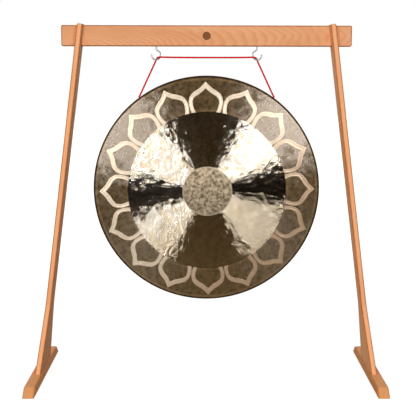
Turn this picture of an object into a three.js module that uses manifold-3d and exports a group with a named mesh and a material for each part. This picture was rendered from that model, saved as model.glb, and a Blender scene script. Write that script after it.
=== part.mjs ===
// A free-standing stand of oiled beech with a bronze gong hung in it on a cord.
// Units are millimetres. +Z is up and -Y is the front, the side that is struck.
// The origin is on the floor, under the middle of the crossbar.

import * as THREE from 'three';
import { mergeVertices } from 'three/addons/utils/BufferGeometryUtils.js';
import Module from 'manifold-3d';

const wasm = await Module();
wasm.setup();

// Clearances shared by all pieces

const seatGap = 0.3;
const cutOverrun = 20;
const roundSides = 16;
const mergeTolerance = 1e-4;

// Gong

const gongDiameter = 804;
const gongSheet = 2;
const gongCrown = 8;
const gongRimDepth = 65;
const gongShoulderRadius = 7;
const gongRimTaper = 6;
const gongFaceRings = 5;
const gongShoulderSteps = 4;
const gongSegments = 80;

// The cord holes in the gong's rim

const cordHoleDiameter = 7;
const cordHoleSetback = 12;
const cordHoleAngle = THREE.MathUtils.degToRad(36.1);

// Where the gong hangs in the frame

const gongFloorGap = 278;
const gongTopGap = 100;
const gongSideGap = 100;

// Crossbar

const barHeight = 72;
const barThickness = 30;
const barOverhang = 53;
const barCornerRadius = 6;
const barEdgeRadius = 4;
const barHousingDepth = 3;

// Dark wood dot let into the front of the crossbar

const dotDiameter = 28;
const dotDepth = 4;

// Posts

const postThickness = 20;
const postDepth = 78;
const postLean = THREE.MathUtils.degToRad(7.53);
const postHeadRise = 5;
const postHeadRadius = 9;
const postEdgeRadius = 5;
const postFlareHeight = 262;
const postFlareDepth = 220;
const postFlareRadius = 60;

// Feet

const footLength = 540;
const footWidth = 40;
const footHeight = 30;
const footBevelRun = 34;
const footBevelRadius = 14;
const footEdgeRadius = 6;
const footOutset = 6;

// Cap screws, their threaded inserts and the dowels

const screwDiameter = 6;
const screwHeadDiameter = 10;
const screwHeadHeight = 6;
const screwSocketWidth = 5;
const screwSocketDepth = 3;
const screwSinking = 7;
const screwHoleClearance = 0.5;
const barScrewLength = 54;
const footScrewLength = 36;
const insertDiameter = 10;
const barInsertLength = 12;
const footInsertLength = 15;
const footScrewSpacing = 140;
const dowelDiameter = 8;
const dowelLength = 29;
const dowelSpacing = 60;
const dowelChamfer = 1;

// Screw hooks, bent from round wire

const hookSpacing = 351;
const hookWireDiameter = 5;
const hookWireSides = 8;
const hookWireSteps = 44;
const hookScrewDepth = 22;
const hookPointLength = 5;
const hookDrop = 45.5;
const hookBowlRadius = 14;
const hookTipReach = 17;
const hookTipRise = 19;
const hookNeckDrop = 11;
const hookNeckSlope = 10;
const hookNeckRadius = 6;

// Cord

const cordDiameter = 5.2;
const cordSides = 8;
const cordStepsPerPoint = 2;
const cordTurnRadius = 12;
const cordBallRadius = 4;
const knotRadius = 6.5;
const knotTailLength = 9;

// The cord's left half, from the middle of its top run, over the hook and down to the gong
const cordRoute = [
	[0, -6.5, 1144.8],
	[-45, -6.5, 1144.8],
	[-90, -6.5, 1144.9],
	[-130, -6.5, 1145.0],
	[-155.5, -6.5, 1145.2],
	[-161.5, -6.1, 1145.2],
	[-166.5, -4.5, 1144.7],
	[-170.5, -1.4, 1143.4],
	[-173.4, 2.5, 1141.4],
	[-175.4, 5.3, 1138.4],
	[-177.2, 6.7, 1134.2],
	[-179.7, 6.9, 1128.5],
	[-183.5, 6.5, 1120.3],
	[-199.5, 4.6, 1086.1],
	[-215.5, 2.6, 1051.9],
	[-231.5, 0.7, 1017.7],
	[-234.2, 0.4, 1012.1],
	[-236.3, 0.1, 1008.4],
	[-236.6, 0, 1004.6],
];

// Points of the route where the hanging run starts and where the top run ends
const runStart = 10;
const topRunEnd = 12;

// Sizes and places worked out from the values above

const gongRadius = gongDiameter / 2;
const gongCentreHeight = gongFloorGap + gongRadius;
const barBottom = gongCentreHeight + gongRadius + gongTopGap;
const barTop = barBottom + barHeight;
const barMiddle = barBottom + barHeight / 2;
const barCoreThickness = barThickness - 2 * barHousingDepth;
const postHeadHeight = barTop + postHeadRise;
const hookWireHeight = barBottom - hookDrop;
const postFootX = gongRadius + gongSideGap + postThickness / 2 / Math.cos(postLean)
	+ gongCentreHeight * Math.tan(postLean);

const xAxis = new THREE.Vector3(1, 0, 0);
const yAxis = new THREE.Vector3(0, 1, 0);
const zAxis = new THREE.Vector3(0, 0, 1);

// The middle of a post's thickness at a height above the floor
function postAxisX(height) {
	return postFootX - height * Math.tan(postLean);
}

// Finishes

function finish(color, roughness, metalness) {
	return new THREE.MeshStandardMaterial({ color, roughness, metalness });
}

const beech = finish(0xe0a070, 0.5, 0);
const darkWood = finish(0x6e4524, 0.5, 0);
const zinc = finish(0x8a8f8c, 0.35, 1);
const bronze = finish(0x7a6a50, 0.4, 1);
const redCord = finish(0xcd1c20, 0.8, 0);

// Solids: closed meshes that can be cut and joined

function signedVolume(positions, triangles) {
	const a = new THREE.Vector3();
	const b = new THREE.Vector3();
	const c = new THREE.Vector3();
	let volume = 0;
	for (let i = 0; i < triangles.length; i += 3) {
		a.fromArray(positions, triangles[i] * 3);
		b.fromArray(positions, triangles[i + 1] * 3);
		c.fromArray(positions, triangles[i + 2] * 3);
		volume += a.dot(b.cross(c)) / 6;
	}
	return volume;
}

function makeSolid(geometry) {
	const bare = geometry.clone();
	bare.deleteAttribute('normal');
	bare.deleteAttribute('uv');
	const merged = mergeVertices(bare, mergeTolerance);
	const positions = Float32Array.from(merged.attributes.position.array);
	const triangles = [];
	const index = merged.index.array;
	for (let i = 0; i < index.length; i += 3) {
		const [a, b, c] = [index[i], index[i + 1], index[i + 2]];
		if (a !== b && b !== c && c !== a) triangles.push(a, b, c);
	}
	if (signedVolume(positions, triangles) < 0) triangles.reverse();
	const mesh = new wasm.Mesh({
		numProp: 3,
		vertProperties: positions,
		triVerts: Uint32Array.from(triangles),
	});
	return new wasm.Manifold(mesh);
}

function makeGeometry(solid) {
	const mesh = solid.getMesh();
	const geometry = new THREE.BufferGeometry();
	geometry.setAttribute('position', new THREE.BufferAttribute(mesh.vertProperties, 3));
	geometry.setIndex(new THREE.BufferAttribute(mesh.triVerts, 1));
	geometry.computeVertexNormals();
	return geometry;
}

function cutFrom(geometry, tools) {
	let solid = makeSolid(geometry);
	for (const tool of tools) solid = solid.subtract(makeSolid(tool));
	return makeGeometry(solid);
}

function joinTo(geometry, additions) {
	let solid = makeSolid(geometry);
	for (const addition of additions) solid = solid.add(makeSolid(addition));
	return makeGeometry(solid);
}

// The centre of mass of a closed mesh of one material
function massCentre(geometry) {
	const positions = geometry.attributes.position.array;
	const triangles = geometry.index.array;
	const a = new THREE.Vector3();
	const b = new THREE.Vector3();
	const c = new THREE.Vector3();
	const centre = new THREE.Vector3();
	let volume = 0;
	for (let i = 0; i < triangles.length; i += 3) {
		a.fromArray(positions, triangles[i] * 3);
		b.fromArray(positions, triangles[i + 1] * 3);
		c.fromArray(positions, triangles[i + 2] * 3);
		const part = a.dot(new THREE.Vector3().crossVectors(b, c)) / 6;
		volume += part;
		centre.addScaledVector(a.add(b).add(c), part / 4);
	}
	return centre.divideScalar(volume);
}

// Basic forms

// A path with straight runs and a round bend at each corner: corners are [x, y, bend radius]
function bendInto(path, corners, closed) {
	const count = corners.length;
	const first = closed ? 0 : 1;
	const last = closed ? count : count - 1;
	if (!closed) path.moveTo(corners[0][0], corners[0][1]);
	for (let i = first; i < last; i += 1) {
		const before = new THREE.Vector2(...corners[(i + count - 1) % count]);
		const corner = new THREE.Vector2(...corners[i]);
		const after = new THREE.Vector2(...corners[(i + 1) % count]);
		const radius = corners[i][2] ?? 0;
		const arriving = corner.clone().sub(before).normalize();
		const leaving = after.sub(corner).normalize();
		const turn = Math.atan2(arriving.cross(leaving), arriving.dot(leaving));
		const setback = radius * Math.tan(Math.abs(turn) / 2);
		const start = corner.clone().addScaledVector(arriving, -setback);
		if (closed && i === 0) path.moveTo(start.x, start.y);
		else path.lineTo(start.x, start.y);
		if (radius === 0) continue;
		const side = Math.sign(turn);
		const centre = start.clone().add(new THREE.Vector2(-arriving.y, arriving.x).multiplyScalar(side * radius));
		const from = Math.atan2(start.y - centre.y, start.x - centre.x);
		path.absarc(centre.x, centre.y, radius, from, from + turn, side < 0);
	}
	if (closed) path.closePath();
	else path.lineTo(corners[count - 1][0], corners[count - 1][1]);
	return path;
}

function roundedShape(corners) {
	return bendInto(new THREE.Shape(), corners, true);
}

function roundedPath(corners) {
	return bendInto(new THREE.Path(), corners, false);
}

// A board of an outline's shape with all its long edges rounded over, centred on its thickness
function roundedBoard(outline, thickness, edgeRadius) {
	const board = new THREE.ExtrudeGeometry(outline, {
		depth: thickness - 2 * edgeRadius,
		curveSegments: 3,
		bevelSegments: 3,
		bevelThickness: edgeRadius,
		bevelSize: edgeRadius,
		bevelOffset: -edgeRadius,
	});
	return board.translate(0, 0, edgeRadius - thickness / 2);
}

// Turns a board drawn on X and Y so that its outline lies on Y and Z and its thickness on X
function standOnEdge(board) {
	return board.applyMatrix4(new THREE.Matrix4().makeBasis(yAxis, zAxis, xAxis));
}

function block(low, high) {
	const size = high.clone().sub(low);
	const centre = high.clone().add(low).divideScalar(2);
	return new THREE.BoxGeometry(size.x, size.y, size.z).translate(centre.x, centre.y, centre.z);
}

// A round bar along Z from one height to another
function roundBar(radius, low, high, sides = roundSides) {
	const bar = new THREE.CylinderGeometry(radius, radius, high - low, sides);
	return bar.rotateX(Math.PI / 2).translate(0, 0, (low + high) / 2);
}

function turned(profile, segments) {
	const points = profile.map(([radius, along]) => new THREE.Vector2(radius, along));
	return new THREE.LatheGeometry(points, segments);
}

function ringShape(radius, sides) {
	const points = [];
	for (let i = 0; i < sides; i += 1) {
		const angle = (i / sides) * 2 * Math.PI;
		points.push(new THREE.Vector2(radius * Math.cos(angle), radius * Math.sin(angle)));
	}
	return new THREE.Shape(points);
}

function tubeAlong(curve, radius, sides, steps) {
	return new THREE.ExtrudeGeometry(ringShape(radius, sides), {
		steps,
		extrudePath: curve,
		bevelEnabled: false,
	});
}

// A flat path stood upright on X and Z
class UprightCurve extends THREE.Curve {
	constructor(path) {
		super();
		this.path = path;
	}

	getPoint(share, target = new THREE.Vector3()) {
		const point = this.path.getPoint(share);
		return target.set(point.x, 0, point.y);
	}
}

// A smooth line through points that takes the same number of steps from each point to the next
class RouteCurve extends THREE.CatmullRomCurve3 {
	getUtoTmapping(share) {
		return share;
	}
}

// Named meshes

function piece(name, geometry, material) {
	const mesh = new THREE.Mesh(geometry, material);
	mesh.name = name;
	return mesh;
}

// The frame of a leaning post: its axis meets the floor at the group's origin
function postMatrix(side) {
	const turn = new THREE.Matrix4().makeRotationY(-side * postLean);
	return new THREE.Matrix4().makeTranslation(side * postFootX, 0, 0).multiply(turn);
}

function intoPostFrame(tool, side) {
	return tool.applyMatrix4(postMatrix(side).invert());
}

// Cap screws, inserts and dowels, drawn along Z with the seat at zero

function capScrewGeometry(length) {
	const shank = roundBar(screwDiameter / 2, -screwHeadHeight / 2, length);
	const head = roundBar(screwHeadDiameter / 2, -screwHeadHeight, 0);
	const socket = roundBar(
		screwSocketWidth / 2 / Math.cos(Math.PI / 6),
		-screwHeadHeight - cutOverrun,
		-screwHeadHeight + screwSocketDepth,
		6,
	);
	return cutFrom(joinTo(head, [shank]), [socket]);
}

function insertGeometry(length) {
	const sleeve = roundBar(insertDiameter / 2, 0, length);
	const thread = roundBar(screwDiameter / 2 + seatGap, -cutOverrun, length + cutOverrun);
	return cutFrom(sleeve, [thread]);
}

function dowelGeometry() {
	const radius = dowelDiameter / 2;
	const profile = [
		[0, 0],
		[radius - dowelChamfer, 0],
		[radius, dowelChamfer],
		[radius, dowelLength - dowelChamfer],
		[radius - dowelChamfer, dowelLength],
		[0, dowelLength],
	];
	return makeGeometry(makeSolid(turned(profile, roundSides).rotateX(Math.PI / 2)));
}

// Places of the hardware

const screwHoleRadius = screwDiameter / 2 + screwHoleClearance;
const screwHeadHoleRadius = screwHeadDiameter / 2 + screwHoleClearance;
const insertHoleRadius = insertDiameter / 2 + seatGap;
const slotHalf = barCoreThickness / 2 + seatGap;
const barScrewSeatY = postDepth / 2 - screwSinking;
const barInsertFarY = -slotHalf - barInsertLength;
const footScrewSeat = screwSinking;
const footInsertBottom = footHeight + seatGap;
const dowelBottom = footHeight - dowelLength / 2;
const ends = [['front', -1], ['rear', 1]];
const sides = [['left', -1], ['right', 1]];
const footScrewX = postAxisX(footHeight);

// A tool along Y at the place where a post and the crossbar are screwed together
function barBore(radius, fromY, toY, side) {
	const bore = roundBar(radius, fromY, toY).rotateX(-Math.PI / 2);
	return bore.translate(side * postAxisX(barMiddle), 0, barMiddle);
}

// A tool along Z where a post stands on its foot
function footBore(radius, low, high, side, y) {
	return roundBar(radius, low, high).translate(side * footScrewX, y, 0);
}

// Crossbar: a board with round corners, housed for both post heads

function crossbarGeometry() {
	const halfLength = postAxisX(barMiddle) + postThickness / 2 + barOverhang;
	const halfHeight = barHeight / 2;
	const outline = roundedShape([
		[-halfLength, -halfHeight, barCornerRadius],
		[halfLength, -halfHeight, barCornerRadius],
		[halfLength, halfHeight, barCornerRadius],
		[-halfLength, halfHeight, barCornerRadius],
	]);
	const board = roundedBoard(outline, barThickness, barEdgeRadius).rotateX(Math.PI / 2);
	board.translate(0, 0, barMiddle);
	const tools = [dotRecess()];
	for (const [, side] of sides) {
		tools.push(...housingTools(side));
		tools.push(barBore(screwHoleRadius, -barThickness, barThickness, side));
		tools.push(hookBore(side));
	}
	return cutFrom(board, tools);
}

// The slanted housings that a post's two cheeks sit in
function housingTools(side) {
	const half = postThickness / 2 + seatGap;
	const inner = barCoreThickness / 2;
	const outer = barThickness / 2 + cutOverrun;
	const low = barBottom - cutOverrun;
	const high = barTop + cutOverrun * 2;
	return [-1, 1].map((face) => {
		const near = Math.min(face * inner, face * outer);
		const far = Math.max(face * inner, face * outer);
		const slab = block(new THREE.Vector3(-half, near, low), new THREE.Vector3(half, far, high));
		return slab.applyMatrix4(postMatrix(side));
	});
}

function dotRecess() {
	const low = -barThickness / 2 - cutOverrun;
	const high = -barThickness / 2 + dotDepth + seatGap;
	const recess = roundBar(dotDiameter / 2 + seatGap, low, high, 2 * roundSides).rotateX(-Math.PI / 2);
	return recess.translate(0, 0, barMiddle);
}

function hookBore(side) {
	const radius = hookWireDiameter / 2 + seatGap;
	const bore = roundBar(radius, barBottom - cutOverrun, barBottom + hookScrewDepth + hookPointLength + seatGap);
	return bore.translate((side * hookSpacing) / 2, 0, 0);
}

function dotGeometry() {
	return roundBar(dotDiameter / 2, 0, dotDepth, 2 * roundSides).rotateX(-Math.PI / 2);
}

// Post: a thin board that flares onto its foot and forks round the crossbar

function postGeometry(side) {
	const halfDepth = postDepth / 2;
	const halfFlare = postFlareDepth / 2;
	const alongPost = 1 / Math.cos(postLean);
	const flareTop = postFlareHeight * alongPost;
	const footTop = footHeight * alongPost;
	const flareSlope = (halfFlare - halfDepth) / (flareTop - footTop);
	const below = footTop + cutOverrun;
	const bottomHalf = halfFlare + flareSlope * below;
	const head = postHeadHeight * alongPost;
	const outline = roundedShape([
		[-bottomHalf, footTop - below],
		[bottomHalf, footTop - below],
		[halfDepth, flareTop, postFlareRadius],
		[halfDepth, head, postHeadRadius],
		[-halfDepth, head, postHeadRadius],
		[-halfDepth, flareTop, postFlareRadius],
	]);
	const board = standOnEdge(roundedBoard(outline, postThickness, postEdgeRadius));
	const worldTools = [underFootTop(side), barSlot(side)];
	worldTools.push(barBore(screwHoleRadius, 0, postDepth, side));
	worldTools.push(barBore(screwHeadHoleRadius, barScrewSeatY, postDepth, side));
	worldTools.push(barBore(insertHoleRadius, barInsertFarY - seatGap, 0, side));
	for (const [, end] of ends) {
		const screwY = (end * footScrewSpacing) / 2;
		const dowelY = (end * dowelSpacing) / 2;
		const screwTip = footScrewSeat + footScrewLength;
		const pocketTop = Math.max(footInsertBottom + footInsertLength, screwTip) + seatGap;
		const dowelTop = dowelBottom + dowelLength + seatGap;
		worldTools.push(footBore(insertHoleRadius, footHeight - cutOverrun, pocketTop, side, screwY));
		worldTools.push(footBore(dowelDiameter / 2 + seatGap, footHeight - cutOverrun, dowelTop, side, dowelY));
	}
	return cutFrom(board, worldTools.map((tool) => intoPostFrame(tool, side)));
}

// All that a post would have below the top of its foot
function underFootTop(side) {
	const reach = postFlareDepth;
	const x = side * postFootX;
	const low = new THREE.Vector3(x - reach, -reach, -reach);
	const high = new THREE.Vector3(x + reach, reach, footHeight + seatGap);
	return block(low, high);
}

// The slot between a post's cheeks, with a level floor under the crossbar
function barSlot(side) {
	const x = side * postAxisX(barMiddle);
	const reach = postThickness + barHeight;
	const low = new THREE.Vector3(x - reach, -slotHalf, barBottom - seatGap);
	const high = new THREE.Vector3(x + reach, slotHalf, postHeadHeight + cutOverrun);
	return block(low, high);
}

// Foot: a low board with a bevel at each end, flat underneath

function footGeometry(side) {
	const half = footLength / 2;
	const bevelSlope = footHeight / footBevelRun;
	const below = footEdgeRadius + cutOverrun / 2;
	const spread = below / bevelSlope;
	const outline = roundedShape([
		[-half - spread, -below],
		[half + spread, -below],
		[half - footBevelRun, footHeight, footBevelRadius],
		[footBevelRun - half, footHeight, footBevelRadius],
	]);
	const board = standOnEdge(roundedBoard(outline, footWidth, footEdgeRadius));
	const tools = [block(
		new THREE.Vector3(-footWidth, -footLength, -footHeight),
		new THREE.Vector3(footWidth, footLength, 0),
	)];
	for (const [, end] of ends) {
		const screwY = (end * footScrewSpacing) / 2;
		const dowelY = (end * dowelSpacing) / 2;
		const bores = [
			footBore(screwHoleRadius, -cutOverrun, footHeight + cutOverrun, side, screwY),
			footBore(screwHeadHoleRadius, -cutOverrun, footScrewSeat, side, screwY),
			footBore(dowelDiameter / 2 + seatGap, dowelBottom - seatGap, footHeight + cutOverrun, side, dowelY),
		];
		for (const bore of bores) tools.push(bore.translate(-side * footCentreX(), 0, 0));
	}
	return cutFrom(board, tools);
}

function footCentreX() {
	return postAxisX(footHeight) + footOutset;
}

// Screw hook: a plain shank in the crossbar, an offset neck and an open bowl

function hookPath() {
	const bowl = hookBowlRadius;
	return roundedPath([
		[0, hookDrop + hookScrewDepth],
		[0, hookDrop - hookNeckDrop, hookNeckRadius],
		[-bowl, hookDrop - hookNeckDrop - hookNeckSlope, hookNeckRadius],
		[-bowl, 0, bowl],
		[bowl, 0, bowl],
		[hookTipReach, hookTipRise],
	]);
}

function hookGeometry(side) {
	const radius = hookWireDiameter / 2;
	const wire = tubeAlong(new UprightCurve(hookPath()), radius, hookWireSides, hookWireSteps);
	const shankTop = hookDrop + hookScrewDepth;
	const point = turned([
		[0, -hookPointLength],
		[radius, -hookPointLength],
		[radius, 0],
		[0, hookPointLength],
	], hookWireSides);
	point.rotateX(Math.PI / 2).translate(0, 0, shankTop);
	const hook = joinTo(wire, [point]);
	return side < 0 ? makeGeometry(makeSolid(hook.rotateZ(Math.PI))) : hook;
}

// Gong: a hammered sheet with a gently crowned face and a rim turned back

function gongProfile() {
	const faceRadius = gongRadius - gongShoulderRadius;
	const crownAt = (radius) => -gongCrown * (1 - (radius / faceRadius) ** 2);
	const front = [];
	for (let i = 0; i < gongFaceRings; i += 1) {
		const radius = (faceRadius * i) / gongFaceRings;
		front.push([radius, crownAt(radius)]);
	}
	const back = front.map(([radius, along]) => [radius, along + gongSheet]).reverse();
	const shoulder = (bend) => {
		const points = [];
		for (let i = 0; i <= gongShoulderSteps; i += 1) {
			const angle = ((i / gongShoulderSteps) * Math.PI) / 2;
			points.push([
				faceRadius + bend * Math.sin(angle),
				gongShoulderRadius - bend * Math.cos(angle),
			]);
		}
		return points;
	};
	return [
		...front,
		...shoulder(gongShoulderRadius),
		[gongRadius - gongRimTaper, gongRimDepth],
		[gongRadius - gongRimTaper - gongSheet, gongRimDepth],
		...shoulder(gongShoulderRadius - gongSheet).reverse(),
		...back,
	];
}

// The outer radius of the rim where the cord holes are, and the angle of its taper
const rimTaperShare = (cordHoleSetback - gongShoulderRadius) / (gongRimDepth - gongShoulderRadius);
const cordHoleRadiusOut = gongRadius - gongRimTaper * rimTaperShare;
const rimTaperAngle = Math.atan2(gongRimTaper, gongRimDepth - gongShoulderRadius);

// A frame with its origin at a cord hole and +Y pointing square out of the rim
function cordHoleMatrix(side) {
	const radial = new THREE.Vector3(side * Math.sin(cordHoleAngle), 0, Math.cos(cordHoleAngle));
	const place = radial.clone().multiplyScalar(cordHoleRadiusOut).setY(cordHoleSetback);
	const out = radial.multiplyScalar(Math.cos(rimTaperAngle)).setY(Math.sin(rimTaperAngle));
	const across = new THREE.Vector3().crossVectors(out, yAxis).normalize();
	const along = new THREE.Vector3().crossVectors(across, out);
	return new THREE.Matrix4().makeBasis(across, out, along).setPosition(place);
}

function gongGeometry() {
	const radius = cordHoleDiameter / 2;
	const tools = sides.map(([, side]) => {
		const bore = new THREE.CylinderGeometry(radius, radius, 2 * cordHoleDiameter, roundSides);
		return bore.applyMatrix4(cordHoleMatrix(side));
	});
	return cutFrom(turned(gongProfile(), gongSegments), tools);
}

// The knot inside the rim, with the stub of cord that fills the hole as a ball joint
function knotGeometry() {
	const cordRadius = cordDiameter / 2;
	const seat = -gongSheet - seatGap;
	const neckTop = Math.sqrt(cordBallRadius ** 2 - cordRadius ** 2);
	const ballSteps = 3;
	const profile = [[0, cordBallRadius]];
	for (let i = 1; i < ballSteps; i += 1) {
		const angle = (Math.asin(cordRadius / cordBallRadius) * i) / ballSteps;
		profile.push([cordBallRadius * Math.sin(angle), cordBallRadius * Math.cos(angle)]);
	}
	profile.push([cordRadius, neckTop]);
	const knotShares = [[0.62, 0], [0.9, 0.35], [1, 0.9], [0.9, 1.4], [0.6, 1.75]];
	profile.push([cordRadius, seat]);
	for (const [across, along] of knotShares) profile.push([knotRadius * across, seat - knotRadius * along]);
	const tailTop = seat - knotRadius * 2;
	profile.push([cordRadius, tailTop], [cordRadius, tailTop - knotTailLength], [0, tailTop - knotTailLength]);
	return makeGeometry(makeSolid(turned(profile, 2 * cordSides)));
}

// The gong leans so that its centre of mass hangs straight under its cord holes

const gongSolid = gongGeometry();
const gongMassCentre = massCentre(gongSolid);
const cordHoleRise = cordHoleRadiusOut * Math.cos(cordHoleAngle);
const gongLean = Math.atan2(cordHoleSetback - gongMassCentre.y, cordHoleRise - gongMassCentre.z);
const cordHoleY = cordHoleSetback * Math.cos(gongLean) - cordHoleRise * Math.sin(gongLean);

function gongMatrix() {
	return new THREE.Matrix4().makeRotationX(gongLean).setPosition(0, -cordHoleY, gongCentreHeight);
}

function cordHoleCentre(side) {
	return new THREE.Vector3().setFromMatrixPosition(gongMatrix().multiply(cordHoleMatrix(side)));
}

// Cord: one length over both hooks, in three pieces that meet on round faces,
// about the hooks' wire and about the gong's holes, so that the runs can swing

function routePoints(side, from, to) {
	const points = cordRoute.slice(from, to + 1);
	return points.map(([x, y, z]) => new THREE.Vector3(-side * x, y, z));
}

function cordTube(points) {
	const steps = cordStepsPerPoint * (points.length - 1);
	const curve = new RouteCurve(points, false, 'centripetal');
	return tubeAlong(curve, cordDiameter / 2, cordSides, steps);
}

// A round bar along X round the lowest point of the hooks' wire
function turnCylinder(radius) {
	const half = hookSpacing;
	return new THREE.CylinderGeometry(radius, radius, 2 * half, 4 * roundSides)
		.rotateZ(Math.PI / 2)
		.translate(0, 0, hookWireHeight);
}

function topRunGeometry() {
	const left = routePoints(-1, 1, topRunEnd).reverse();
	const right = routePoints(1, 0, topRunEnd);
	const tube = cordTube([...left, ...right]);
	const reach = new THREE.Vector3(hookSpacing, 4 * cordTurnRadius, 4 * cordTurnRadius);
	const low = new THREE.Vector3(0, 0, hookWireHeight - cordTurnRadius / 2).sub(reach);
	const high = new THREE.Vector3(reach.x, reach.y, hookWireHeight - cordDiameter / 4);
	const below = cutFrom(block(low, high), [turnCylinder(cordTurnRadius)]);
	return cutFrom(tube, [below]);
}

function hangingRunGeometry(side) {
	const tube = cordTube(routePoints(side, runStart, cordRoute.length - 1));
	const hole = cordHoleCentre(side);
	const socket = new THREE.SphereGeometry(cordBallRadius + seatGap, 2 * roundSides, roundSides);
	socket.translate(hole.x, hole.y, hole.z);
	return cutFrom(tube, [turnCylinder(cordTurnRadius + seatGap), socket]);
}

// Assembly

const stand = new THREE.Group();

function addFrame() {
	const bar = piece('crossbar', crossbarGeometry(), beech);
	const dot = piece('bar_dot', dotGeometry(), darkWood);
	dot.position.set(0, -barThickness / 2, barMiddle);
	stand.add(bar, dot);
}

function addLeg(name, side) {
	const leaning = new THREE.Group();
	leaning.applyMatrix4(postMatrix(side));
	leaning.add(piece(`${name}_post`, postGeometry(side), beech));
	const foot = piece(`${name}_foot`, footGeometry(side), beech);
	foot.position.x = side * footCentreX();
	stand.add(leaning, foot);
}

function addBarScrew(name, side) {
	const x = side * postAxisX(barMiddle);
	const screw = piece(`${name}_bar_screw`, capScrewGeometry(barScrewLength), zinc);
	screw.rotation.x = Math.PI / 2;
	screw.position.set(x, barScrewSeatY + seatGap, barMiddle);
	const insert = piece(`${name}_bar_insert`, insertGeometry(barInsertLength), zinc);
	insert.rotation.x = Math.PI / 2;
	insert.position.set(x, -slotHalf, barMiddle);
	stand.add(screw, insert);
}

function addFootHardware(name, side) {
	for (const [where, end] of ends) {
		const screwY = (end * footScrewSpacing) / 2;
		const screw = piece(`${name}_${where}_foot_screw`, capScrewGeometry(footScrewLength), zinc);
		screw.position.set(side * footScrewX, screwY, footScrewSeat - seatGap);
		const insert = piece(`${name}_${where}_foot_insert`, insertGeometry(footInsertLength), zinc);
		insert.position.set(side * footScrewX, screwY, footInsertBottom);
		const dowel = piece(`${name}_${where}_dowel`, dowelGeometry(), beech);
		dowel.position.set(side * footScrewX, (end * dowelSpacing) / 2, dowelBottom);
		stand.add(screw, insert, dowel);
	}
}

function addHook(name, side) {
	const hook = piece(`${name}_hook`, hookGeometry(side), zinc);
	hook.position.set((side * hookSpacing) / 2, 0, hookWireHeight);
	stand.add(hook);
}

function addCord() {
	stand.add(piece('cord_top_run', topRunGeometry(), redCord));
	for (const [name, side] of sides) {
		stand.add(piece(`${name}_cord_run`, hangingRunGeometry(side), redCord));
	}
}

function addGong() {
	const hung = new THREE.Group();
	hung.applyMatrix4(gongMatrix());
	hung.add(piece('gong', gongSolid, bronze));
	for (const [name, side] of sides) {
		const knot = piece(`${name}_cord_knot`, knotGeometry(), redCord);
		knot.applyMatrix4(cordHoleMatrix(side));
		hung.add(knot);
	}
	stand.add(hung);
}

addFrame();
for (const [name, side] of sides) {
	addLeg(name, side);
	addBarScrew(name, side);
	addFootHardware(name, side);
	addHook(name, side);
}
addCord();
addGong();

export default stand;
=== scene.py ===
"""Looks of a free-standing gong stand of oiled beech, with its gong on a red cord.

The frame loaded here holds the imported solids. Lengths are metres, +Z is up and -Y is the front.
"""
import logging
import math
from dataclasses import dataclass
from enum import Enum

import bmesh
import bpy
import numpy as np
from mathutils import Matrix, Vector, noise


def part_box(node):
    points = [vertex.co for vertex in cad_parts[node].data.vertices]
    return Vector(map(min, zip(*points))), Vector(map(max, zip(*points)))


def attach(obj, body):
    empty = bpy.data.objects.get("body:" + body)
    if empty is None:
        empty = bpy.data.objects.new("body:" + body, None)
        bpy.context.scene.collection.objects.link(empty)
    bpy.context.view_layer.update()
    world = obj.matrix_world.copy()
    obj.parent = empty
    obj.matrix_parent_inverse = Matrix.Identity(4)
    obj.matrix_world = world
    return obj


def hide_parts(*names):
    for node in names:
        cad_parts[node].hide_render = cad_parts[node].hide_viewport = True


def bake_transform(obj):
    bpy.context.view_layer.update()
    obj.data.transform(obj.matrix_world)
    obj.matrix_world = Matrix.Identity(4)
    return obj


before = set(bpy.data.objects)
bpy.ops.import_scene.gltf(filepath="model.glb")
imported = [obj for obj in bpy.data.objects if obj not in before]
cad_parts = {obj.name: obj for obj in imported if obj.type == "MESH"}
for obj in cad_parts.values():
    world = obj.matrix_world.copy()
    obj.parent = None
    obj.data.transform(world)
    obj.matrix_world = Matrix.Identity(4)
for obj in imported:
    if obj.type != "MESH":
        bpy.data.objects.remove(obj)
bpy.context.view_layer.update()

log = logging.getLogger("gong_stand")

Colour = tuple[float, float, float]
Point = tuple[float, float, float]
Span = tuple[float, float]
Socket = bpy.types.NodeSocket
Material = bpy.types.Material
Value = Socket | float | Point

FULL_TURN = 2 * math.pi
X_AXIS = (1.0, 0.0, 0.0)
Y_AXIS = (0.0, 1.0, 0.0)
Z_AXIS = (0.0, 0.0, 1.0)
WHITE = (1.0, 1.0, 1.0)
BLACK = (0.0, 0.0, 0.0)

NEXT_TO_NOTHING = 1e-6

# The middle of a noise's range, which most finishes stretch to the whole of theirs
MIDDLE = (0.3, 0.7)

# How far large flat faces outweigh small ones in the normals: 1 to 100, where 50 is even
FLAT_FACE_WEIGHT = 100


def srgb(red: int, green: int, blue: int) -> Colour:
    """Turn a colour in 8-bit display values into the linear values that shaders use.

    Args:
        red: Red, 0 to 255.
        green: Green, 0 to 255.
        blue: Blue, 0 to 255.

    Returns:
        The linear colour.
    """
    shares = (red / 255, green / 255, blue / 255)
    return tuple(s / 12.92 if s <= 0.04045 else ((s + 0.055) / 1.055) ** 2.4 for s in shares)


class Side(Enum):
    """Which leg, hook or cord end a piece belongs to, as the sign of its X."""

    LEFT = -1
    RIGHT = 1

    @property
    def word(self) -> str:
        """The side's name, as node names write it."""
        return self.name.lower()


class EdgeRule(Enum):
    """How a board's rounded edges are told from its faces by the surface normal."""

    BOX = "every edge between two square faces"
    SIDES = "only the edges along the two broad sides"


class Zone(Enum):
    """A part of the gong with a metal of its own."""

    DISC = "matte disc in the middle"
    POLISHED = "polished ring"
    PATINA = "dark ring that carries the petals"
    RIM = "rounded edge and turned-back rim"
    BACK = "inside of the rim and back of the face"


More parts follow.
